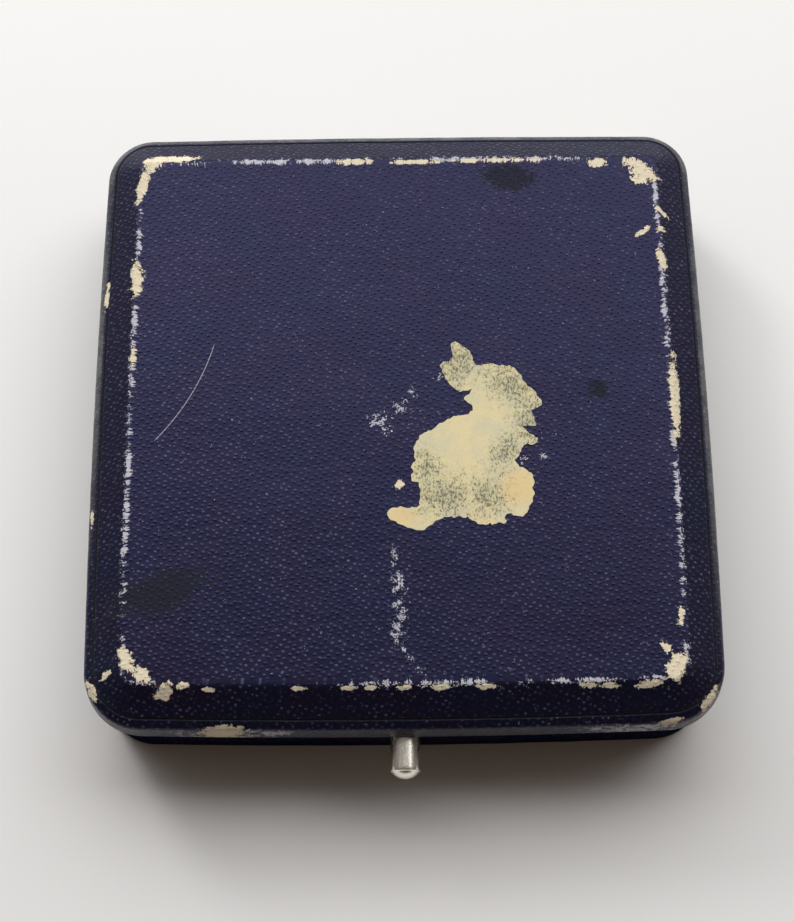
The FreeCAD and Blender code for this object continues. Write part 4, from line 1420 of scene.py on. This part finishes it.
@dataclass
class LidPad:
    """The puffed satin pad inside the lid, crowned in its middle and gathered at its edge.

    Args:
        half_wide: half its width.
        half_deep: half its depth.
        ceiling: the height of the board that it is glued to.
        lowest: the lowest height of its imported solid.
        corner: its corners' radius.
        pitch: the distance between its points.
        slack: how far it stays inside its room all round.
        edge_thick: its thickness at its sewn edge.
        crown: how much thicker it is in its middle.
        shoulder: the width over which it swells from its edge.
        pull: how far its sides draw in between the corners.
        gather: the depth of the gathers at its edge.
    """

    half_wide: float
    half_deep: float
    ceiling: float
    lowest: float
    corner: float = 5.5
    pitch: float = 0.95
    slack: float = 0.2
    edge_thick: float = 0.45
    crown: float = 0.85
    shoulder: float = 7.0
    pull: float = 0.35
    gather: float = 0.16

    def blank(self) -> bpy.types.Object:
        """Returns the stuffed form, with its sides drawn in a little between its corners."""
        wide = self.half_wide - self.slack
        deep = self.half_deep - self.slack
        sheet = RoundedSheet(wide, deep, self.corner, self.pitch)
        plan = sheet.plan()
        u = plan[:, 0] / self.half_wide
        v = plan[:, 1] / self.half_deep
        edge = np.minimum(self.half_wide - np.abs(plan[:, 0]), self.half_deep - np.abs(plan[:, 1]))
        swelling = np.sin(np.clip(edge / self.shoulder, 0.0, 1.0) * math.pi / 2)
        face = self.ceiling - self.edge_thick - self.crown * swelling
        plan = plan - self.pull * np.column_stack([u**3 * (1 - v * v), v**3 * (1 - u * u)])
        lower = np.column_stack([plan, face])
        upper = np.column_stack([plan, np.full(len(plan), self.ceiling - 0.02)])
        count = len(plan)
        border = sheet.border()
        walls = [(border[i], border[i - 1], border[i - 1] + count, border[i] + count)
                 for i in range(len(border))]
        faces = sheet.faces(0, False) + sheet.faces(count, True) + walls
        return make_piece("lid_satin_pad", np.vstack([lower, upper]), faces)

    def tuck(self, piece: bpy.types.Object) -> None:
        """Presses gathers into the pad's edge and soft puckers into its face.

        Args:
            piece: the stuffed form.
        """
        for corner in piece.data.vertices:
            x, y, z = corner.co / MM
            if z > self.ceiling - 0.1:
                continue
            edge = min(self.half_wide - abs(x), self.half_deep - abs(y))
            fade = math.exp(-edge / 4.5) * min(1.0, edge / 0.8)
            along = y if self.half_wide - abs(x) < self.half_deep - abs(y) else x
            pleat = math.sin(along * 1.9 + 2.2 * noise.noise(Vector((x, y, 0)) / 6))
            pucker = noise.noise(Vector((x * 0.5, y, 4.0)) / 5.5)
            corner.co.z += (self.gather * fade * pleat + 0.10 * pucker * min(1.0, edge / 4)) * MM
            corner.co.z = max(corner.co.z, (self.lowest - 0.45) * MM)

    def build(self) -> bpy.types.Object:
        """Returns the finished pad."""
        piece = self.blank()
        fine = piece.modifiers.new("fine", "SUBSURF")
        fine.levels = fine.render_levels = 1
        shown = piece.evaluated_get(bpy.context.evaluated_depsgraph_get())
        finer = bpy.data.meshes.new_from_object(shown)
        piece.modifiers.clear()
        piece.data = finer
        self.tuck(piece)
        return piece


# ---------------------------------------------------------------------------------------------
# The base
# ---------------------------------------------------------------------------------------------


@dataclass
class BaseCover(Shell):
    """The base's cover: turned in below, up a wall that leans out a little, and over the rim.

    Args:
        bottom: the height of its lower edge.
        rim: the height of its upper edge.
        turn_in: how far it reaches in below.
        lean: how much smaller it is at the bottom.
        lean_top: the height where the lean ends.
        foot_round: the radius of its lower edge.
        rim_round: the radius of its upper edge.
        rim_inset: how far the rim reaches in.
        button_axis: the height of the button's axis.
        button_room: the radius of the button's bore.
    """

    bottom: float
    rim: float
    turn_in: float = 5.0
    lean: float = 0.5
    lean_top: float = 10.0
    foot_round: float = 0.4
    rim_round: float = 0.4
    rim_inset: float = 4.7
    button_axis: float = 10.4
    button_room: float = 1.98

    def section(self) -> list[Point]:
        """Returns the section from below to the inside of the rim, as insets and heights."""
        middle = (self.lean + self.foot_round, self.bottom + self.foot_round)
        foot = arc(middle, self.foot_round, -90, -180, 6)
        below = [(i, self.bottom) for i in (self.turn_in, 4.0, 2.8, 1.6)]
        heights = np.linspace(self.bottom + self.foot_round, self.lean_top, 14)[1:]
        wall = [(self.lean * (self.lean_top - z) / (self.lean_top - heights[0]), z) for z in heights]
        wall = [(min(inset, self.lean), z) for inset, z in wall]
        upper = [(0.0, z) for z in np.linspace(self.lean_top, self.rim - self.rim_round, 4)[1:-1]]
        turn = arc((self.rim_round, self.rim - self.rim_round), self.rim_round, 180, 90, 6)
        rim = [(i, self.rim) for i in (0.9, 1.3, 2.0, 2.8, 3.4, 4.0, 4.55)]
        inner = [(self.rim_inset, self.rim - 0.12), (self.rim_inset, self.rim - 0.6)]
        return below + foot + wall + upper + turn + rim + inner

    def shaped(self, points: np.ndarray) -> np.ndarray:
        """Returns the points with the hinge's room, the button's bore and a worn unevenness."""
        x, y, z = points.T
        floor = 4.0
        reach = self.hinge.axis_z - self.hinge.reach(x, y, 0.69)
        bore = self.button_axis - np.sqrt(np.maximum(0.0, self.button_room**2 - x**2))
        high = np.minimum(self.rim, reach)
        at_button = (y < -38.1) & (np.abs(x) < self.button_room + 0.005)
        high = np.where(at_button, np.minimum(high, bore), high)
        share = (high - floor) / (self.rim - floor)
        z = np.where(z > floor, floor + (z - floor) * share, z)
        push = 1 - 0.0014 * np.abs(ripple_of(points, 6.0, 21.0))
        return np.column_stack([x * push, y * push, z])

    def fold_of(self, profile: list[Point], travel: list[float]) -> list[float]:
        """Returns each section point's distance from the nearer of the foot and the upper edge."""
        return [min(math.dist(p, (self.lean, self.bottom)), 0.4 + math.dist(p, (0.0, self.rim)))
                for p in profile]

    def weathered(self, points: np.ndarray) -> np.ndarray:
        """Returns which points lie on the wall and its two edges."""
        return (points[:, 2] > self.bottom + 0.05) & (points[:, 2] < self.rim - 0.05)

    def build(self) -> bpy.types.Object:
        """Returns the cover as a mesh."""
        plate = Bare(5.2, -38.2, -36.2, self.rim - 0.8, self.rim + 0.1)
        return self.weave("base_leatherette", self.section(), self.rim_inset, [], plate)


@dataclass(frozen=True)
class Well:
    """A hollow in the instrument tray.

    Args:
        x: its middle, to the right.
        y: its middle, to the rear.
        half_wide: half its width.
        half_deep: half its depth.
        floor: the height of its floor.
        corner: its corners' radius.
    """

    x: float
    y: float
    half_wide: float
    half_deep: float
    floor: float
    corner: float = 3.0

    def outside(self, where: np.ndarray) -> np.ndarray:
        """Returns each point's distance outside the hollow's edge, below nothing inside it."""
        p = np.abs(where[:, 0] - self.x) - self.half_wide + self.corner
        q = np.abs(where[:, 1] - self.y) - self.half_deep + self.corner
        corner = np.hypot(np.maximum(p, 0), np.maximum(q, 0))
        return corner + np.minimum(np.maximum(p, q), 0) - self.corner


@dataclass
class VelvetTray:
    """The velvet-covered tray: three wells for bow instruments, with a finger trough across them.

    Args:
        half_wide: half the tray's width.
        half_deep: half its depth.
        top: the height of its top.
        foot: how far down its skirt reaches.
        corner: its corners' radius.
        pitch: the distance between its points.
        pile: how uneven the pile stands.
        catch_front: the front edge of the catch's cut-out.
        catch_half: half the cut-out's width.
        catch_floor: the height of the cut-out's floor.
    """

    half_wide: float
    half_deep: float
    top: float
    foot: float
    corner: float = 4.6
    pitch: float = 0.36
    pile: float = 0.10
    catch_front: float = -31.35
    catch_half: float = 5.5
    catch_floor: float = 7.05

    def wells(self) -> list[Well]:
        """Returns the hollows."""
        middle_y = 1.0
        hollows = [Well(x, middle_y, 7.73, 29.6, 4.8) for x in (-20.467, 0.0, 20.467)]
        return hollows + [Well(0.0, 0.0, 31.6, 9.0, 6.8)]

    def height(self, plan: np.ndarray) -> np.ndarray:
        """Returns the velvet's height at each point."""
        height = np.full(len(plan), self.top)
        for well in self.wells():
            inward = np.clip((0.30 - well.outside(plan)) / 1.0, 0.0, 1.0)
            drop = inward * inward * (3 - 2 * inward)
            height = np.minimum(height, self.top + (well.floor - self.top) * drop)
        side = np.minimum(self.half_wide - np.abs(plan[:, 0]), self.half_deep - np.abs(plan[:, 1]))
        height = height - 0.5 * np.clip(1 - side / 0.7, 0, 1) ** 2
        cut = (np.abs(plan[:, 0]) < self.catch_half) & (plan[:, 1] < self.catch_front)
        return np.where(cut, np.minimum(height, self.catch_floor), height)

    def build(self) -> bpy.types.Object:
        """Returns the velvet as a mesh."""
        sheet = RoundedSheet(self.half_wide, self.half_deep, self.corner, self.pitch)
        plan = sheet.plan()
        points = np.column_stack([plan, self.height(plan)])
        points[:, 2] += self.pile * ripple_of(points, 3.1, 2.0)
        border = sheet.border()
        count = len(points)
        skirt = points[border]
        skirt[:, 2] = self.foot
        walls = [(border[i - 1], count + i - 1 if i else count + len(border) - 1, count + i, border[i])
                 for i in range(len(border))]
        return make_piece("velvet_tray", np.vstack([points, skirt]), sheet.faces() + walls)


# ---------------------------------------------------------------------------------------------
# The catch
# ---------------------------------------------------------------------------------------------


@dataclass
class PushButton:
    """The nickel button of the catch, turned on a lathe, with a low dome on its end.

    Args:
        axis_z: the height of its axis.
        radius: its radius.
        front: the tip of its dome.
        rear: its inner end.
        dome: the dome's height.
        edge: the radius of its edges.
        sides: points round it.
    """

    axis_z: float
    radius: float
    front: float
    rear: float
    dome: float = 0.85
    edge: float = 0.16
    sides: int = 96

    def section(self) -> list[Point]:
        """Returns its section from the tip to the inner end, as radii and places along it."""
        rim_r = self.radius - self.edge
        ball = (rim_r**2 + self.dome**2) / (2 * self.dome)
        half_angle = math.degrees(math.asin(rim_r / ball))
        tip = arc((0.0, self.front + ball), ball, -90, -90 + half_angle, 14)
        shoulder = arc((rim_r, self.front + self.dome + self.edge), self.edge, -60, 0, 5)
        waist = [(self.radius, y) for y in np.linspace(shoulder[-1][1], self.rear - 0.2, 16)[1:]]
        back = [(self.radius - 0.2, self.rear), (0.6, self.rear)]
        return tip[1:] + shoulder[1:] + waist + back

    def build(self) -> bpy.types.Object:
        """Returns the button as a closed mesh."""
        rings = []
        for radius, y in self.section():
            turn = np.linspace(0, 2 * math.pi, self.sides, endpoint=False)
            ring = np.column_stack([radius * np.cos(turn), np.full(self.sides, y),
                                    self.axis_z + radius * np.sin(turn)])
            rings.append(ring)
        count = self.sides
        faces = []
        for row in range(len(rings) - 1):
            for i in range(count):
                j = (i + 1) % count
                ahead = (row + 1) * count
                faces.append((row * count + i, ahead + i, ahead + j, row * count + j))
        points = np.vstack([*rings, [[0.0, self.front, self.axis_z]]])
        tip = len(points) - 1
        faces += [(tip, i, (i + 1) % count) for i in range(count)]
        last = (len(rings) - 1) * count
        faces.append(tuple(last + i for i in reversed(range(count))))
        return make_piece("nickel_button", points, faces)


# ---------------------------------------------------------------------------------------------
# The room
# ---------------------------------------------------------------------------------------------


@dataclass
class Table:
    """The plain pale table top that the case rests on.

    Args:
        half: half its width, in millimetres.
        shade: its colour.
        spot: its slightly darker clouds.
    """

    half: float = 1500.0
    shade: Colour = (0.82, 0.815, 0.81)
    spot: Colour = (0.79, 0.785, 0.78)

    def build(self) -> bpy.types.Object:
        """Returns the table top, which is no part of the case."""
        corners = np.array([(-1, -1, 0), (1, -1, 0), (1, 1, 0), (-1, 1, 0)]) * self.half
        piece = make_piece("table_top", corners, [(0, 1, 2, 3)])
        recipe = Recipe("pale_table")
        place = recipe.place()
        cloud = recipe.mottle(place, 0.01, 3.0)
        tooth = recipe.mottle(place, 1.5, 3.0)
        recipe.surface(Base_Color=recipe.tint(cloud, self.shade, self.spot), Roughness=0.6,
                       Normal=recipe.relief(tooth, 0.02, 0.5))
        piece.data.materials.append(recipe.material)
        return piece


@dataclass
class Studio:
    """Soft light from behind and above, and the camera.

    Args:
        lens: the focal length, in millimetres.
        eye: the camera's place, in millimetres.
        tilt: degrees from straight down.
        roll: degrees that it is turned about its own line of sight.
        key_place: the middle of the large light, in millimetres.
        key_size: its width and height, in millimetres.
        key_power: its power in watts.
        glint_place: the middle of the small window, which lights the tips of the grain.
        glint_size: its width and height, in millimetres.
        glint_power: its power in watts.
        sky_high: brightness of the room behind.
        sky_low: brightness of the room in front.
    """

    lens: float = 64.26
    eye: tuple[float, float, float] = (-0.6, -74.6, 215.4)
    tilt: float = 18.83
    roll: float = -0.65
    key_place: tuple[float, float, float] = (60.0, 450.0, 590.0)
    key_size: tuple[float, float] = (1500.0, 600.0)
    key_power: float = 7.6
    glint_place: tuple[float, float, float] = (-420.0, 560.0, 470.0)
    glint_size: tuple[float, float] = (190.0, 190.0)
    glint_power: float = 1.6
    sky_high: Colour = (0.62, 0.63, 0.65)
    sky_low: Colour = (0.085, 0.062, 0.046)

    def camera(self) -> None:
        """Makes the camera."""
        data = bpy.data.cameras.new("camera")
        data.lens = self.lens
        data.sensor_width = 36.0
        data.clip_start = 0.01
        data.clip_end = 20.0
        piece = bpy.data.objects.new("camera", data)
        piece.location = Vector(self.eye) * MM
        tilted = Matrix.Rotation(math.radians(self.tilt), 3, "X")
        piece.rotation_euler = (tilted @ Matrix.Rotation(math.radians(self.roll), 3, "Z")).to_euler()
        bpy.context.scene.collection.objects.link(piece)
        bpy.context.scene.camera = piece

    def lamp(self, name: str, place: tuple[float, float, float], size: tuple[float, float],
             power: float) -> None:
        """Makes one soft light that looks at the case.

        Args:
            name: its name.
            place: its middle, in millimetres.
            size: its width and height, in millimetres.
            power: its power in watts.
        """
        data = bpy.data.lights.new(name, "AREA")
        data.shape = "RECTANGLE"
        data.size = size[0] * MM
        data.size_y = size[1] * MM
        data.energy = power
        data.color = (1.0, 0.995, 0.985)
        piece = bpy.data.objects.new(name, data)
        piece.location = Vector(place) * MM
        aim = Vector((0.0, 0.0, 10.0)) * MM - piece.location
        piece.rotation_euler = aim.to_track_quat("-Z", "Y").to_euler()
        bpy.context.scene.collection.objects.link(piece)

    def sky(self) -> None:
        """Makes the room's light, bright behind and dim in front."""
        world = bpy.data.worlds.new("room")
        bpy.context.scene.world = world
        world.use_nodes = True
        tree = world.node_tree
        way = tree.nodes.new("ShaderNodeTexCoord").outputs["Generated"]
        parts = tree.nodes.new("ShaderNodeSeparateXYZ")
        tree.links.new(way, parts.inputs[0])
        depth = tree.nodes.new("ShaderNodeMapRange")
        depth.interpolation_type = "SMOOTHSTEP"
        tree.links.new(parts.outputs["Y"], depth.inputs["Value"])
        depth.inputs["From Min"].default_value = -0.15
        depth.inputs["From Max"].default_value = 0.85
        mix = tree.nodes.new("ShaderNodeMix")
        mix.data_type = "RGBA"
        tree.links.new(depth.outputs["Result"], mix.inputs[0])
        mix.inputs[6].default_value = (*self.sky_low, 1.0)
        mix.inputs[7].default_value = (*self.sky_high, 1.0)
        ground = tree.nodes["Background"]
        tree.links.new(mix.outputs[2], ground.inputs["Color"])
        ground.inputs["Strength"].default_value = 1.0

    def build(self) -> None:
        """Makes the camera and the lights, and shows colours as they are."""
        self.camera()
        self.lamp("ceiling_light", self.key_place, self.key_size, self.key_power)
        self.lamp("window_light", self.glint_place, self.glint_size, self.glint_power)
        self.sky()
        bpy.context.scene.view_settings.view_transform = "Standard"


# ---------------------------------------------------------------------------------------------
# The case
# ---------------------------------------------------------------------------------------------


def corners_of(node: str) -> tuple[Vector, Vector]:
    """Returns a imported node's lowest and highest corners in millimetres."""
    low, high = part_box(node)
    return low / MM, high / MM


@dataclass
class InstrumentCase:
    """The whole case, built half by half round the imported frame.

    Args:
        finishes: the materials.
        side_bow: how far the left and right sides bow out.
        end_bow: how far the front and rear bow out.
    """

    finishes: FinishBook
    side_bow: float = 0.55
    end_bow: float = 0.7

    def outline(self) -> Outline:
        """Returns the plan, from the base's packed cover."""
        high = corners_of("base_cover")[1]
        return Outline(high.x - self.side_bow, high.y - self.end_bow,
                       side_bow=self.side_bow, end_bow=self.end_bow)

    def hinge_room(self) -> HingeRoom:
        """Returns the room round the hinge, from its joint."""
        axis = next(j for j in frame["joints"] if j["name"] == "lid_hinge")["pos_m"]
        return HingeRoom(axis[1] / MM, axis[2] / MM)

    def build_lid(self) -> list[bpy.types.Object]:
        """Returns the lid's new pieces, in place on the lid."""
        low, high = corners_of("lid_cover")
        cover = LidCover(self.outline(), self.hinge_room(), LID_WEAR_AND_SHEEN, low.z, high.z).build()
        pad_low, pad_high = corners_of("lid_pad")
        pad = LidPad(pad_high.x, pad_high.y, pad_high.z, pad_low.z).build()
        scrap = LabelScrap(high.z).build()
        settle = self.finishes.settle
        pieces = [settle(cover, "lid", "leatherette", "lid_cover"), settle(pad, "lid", "satin", "lid_pad"),
                  settle(scrap, "lid", "label_paper", "label_remnant")]
        return pieces

    def build_base(self) -> list[bpy.types.Object]:
        """Returns the base's new pieces, in place on the base."""
        low, high = corners_of("base_cover")
        cover = BaseCover(self.outline(), self.hinge_room(), BASE_WEAR, low.z, high.z).build()
        low, high = corners_of("velvet_lining")
        tray = VelvetTray(high.x, high.y, high.z, low.z + 0.3).build()
        settle = self.finishes.settle
        return [settle(cover, "base", "leatherette", "base_cover", finish=BASE_LEATHERETTE.name),
                settle(tray, "base", "velvet", "velvet_lining")]

    def build_catch(self) -> list[bpy.types.Object]:
        """Returns the catch's new piece, in place on the button's body."""
        low, high = corners_of("push_button")
        button = PushButton((low.z + high.z) / 2, (high.z - low.z) / 2, low.y, high.y).build()
        return [self.finishes.settle(button, "button", "nickel", "push_button")]


def main() -> None:
    """Builds the room, then the case, and reports each piece."""
    logging.basicConfig(level=logging.INFO, format="%(message)s")
    Studio().build()
    Table().build()
    finishes = FinishBook()
    finishes.dress_nodes(frame["record"])
    case = InstrumentCase(finishes)
    for piece in [*case.build_base(), *case.build_lid(), *case.build_catch()]:
        LOG.info("%s: %d faces", piece.name, len(piece.data.polygons))


if __name__ == "__main__":
    main()
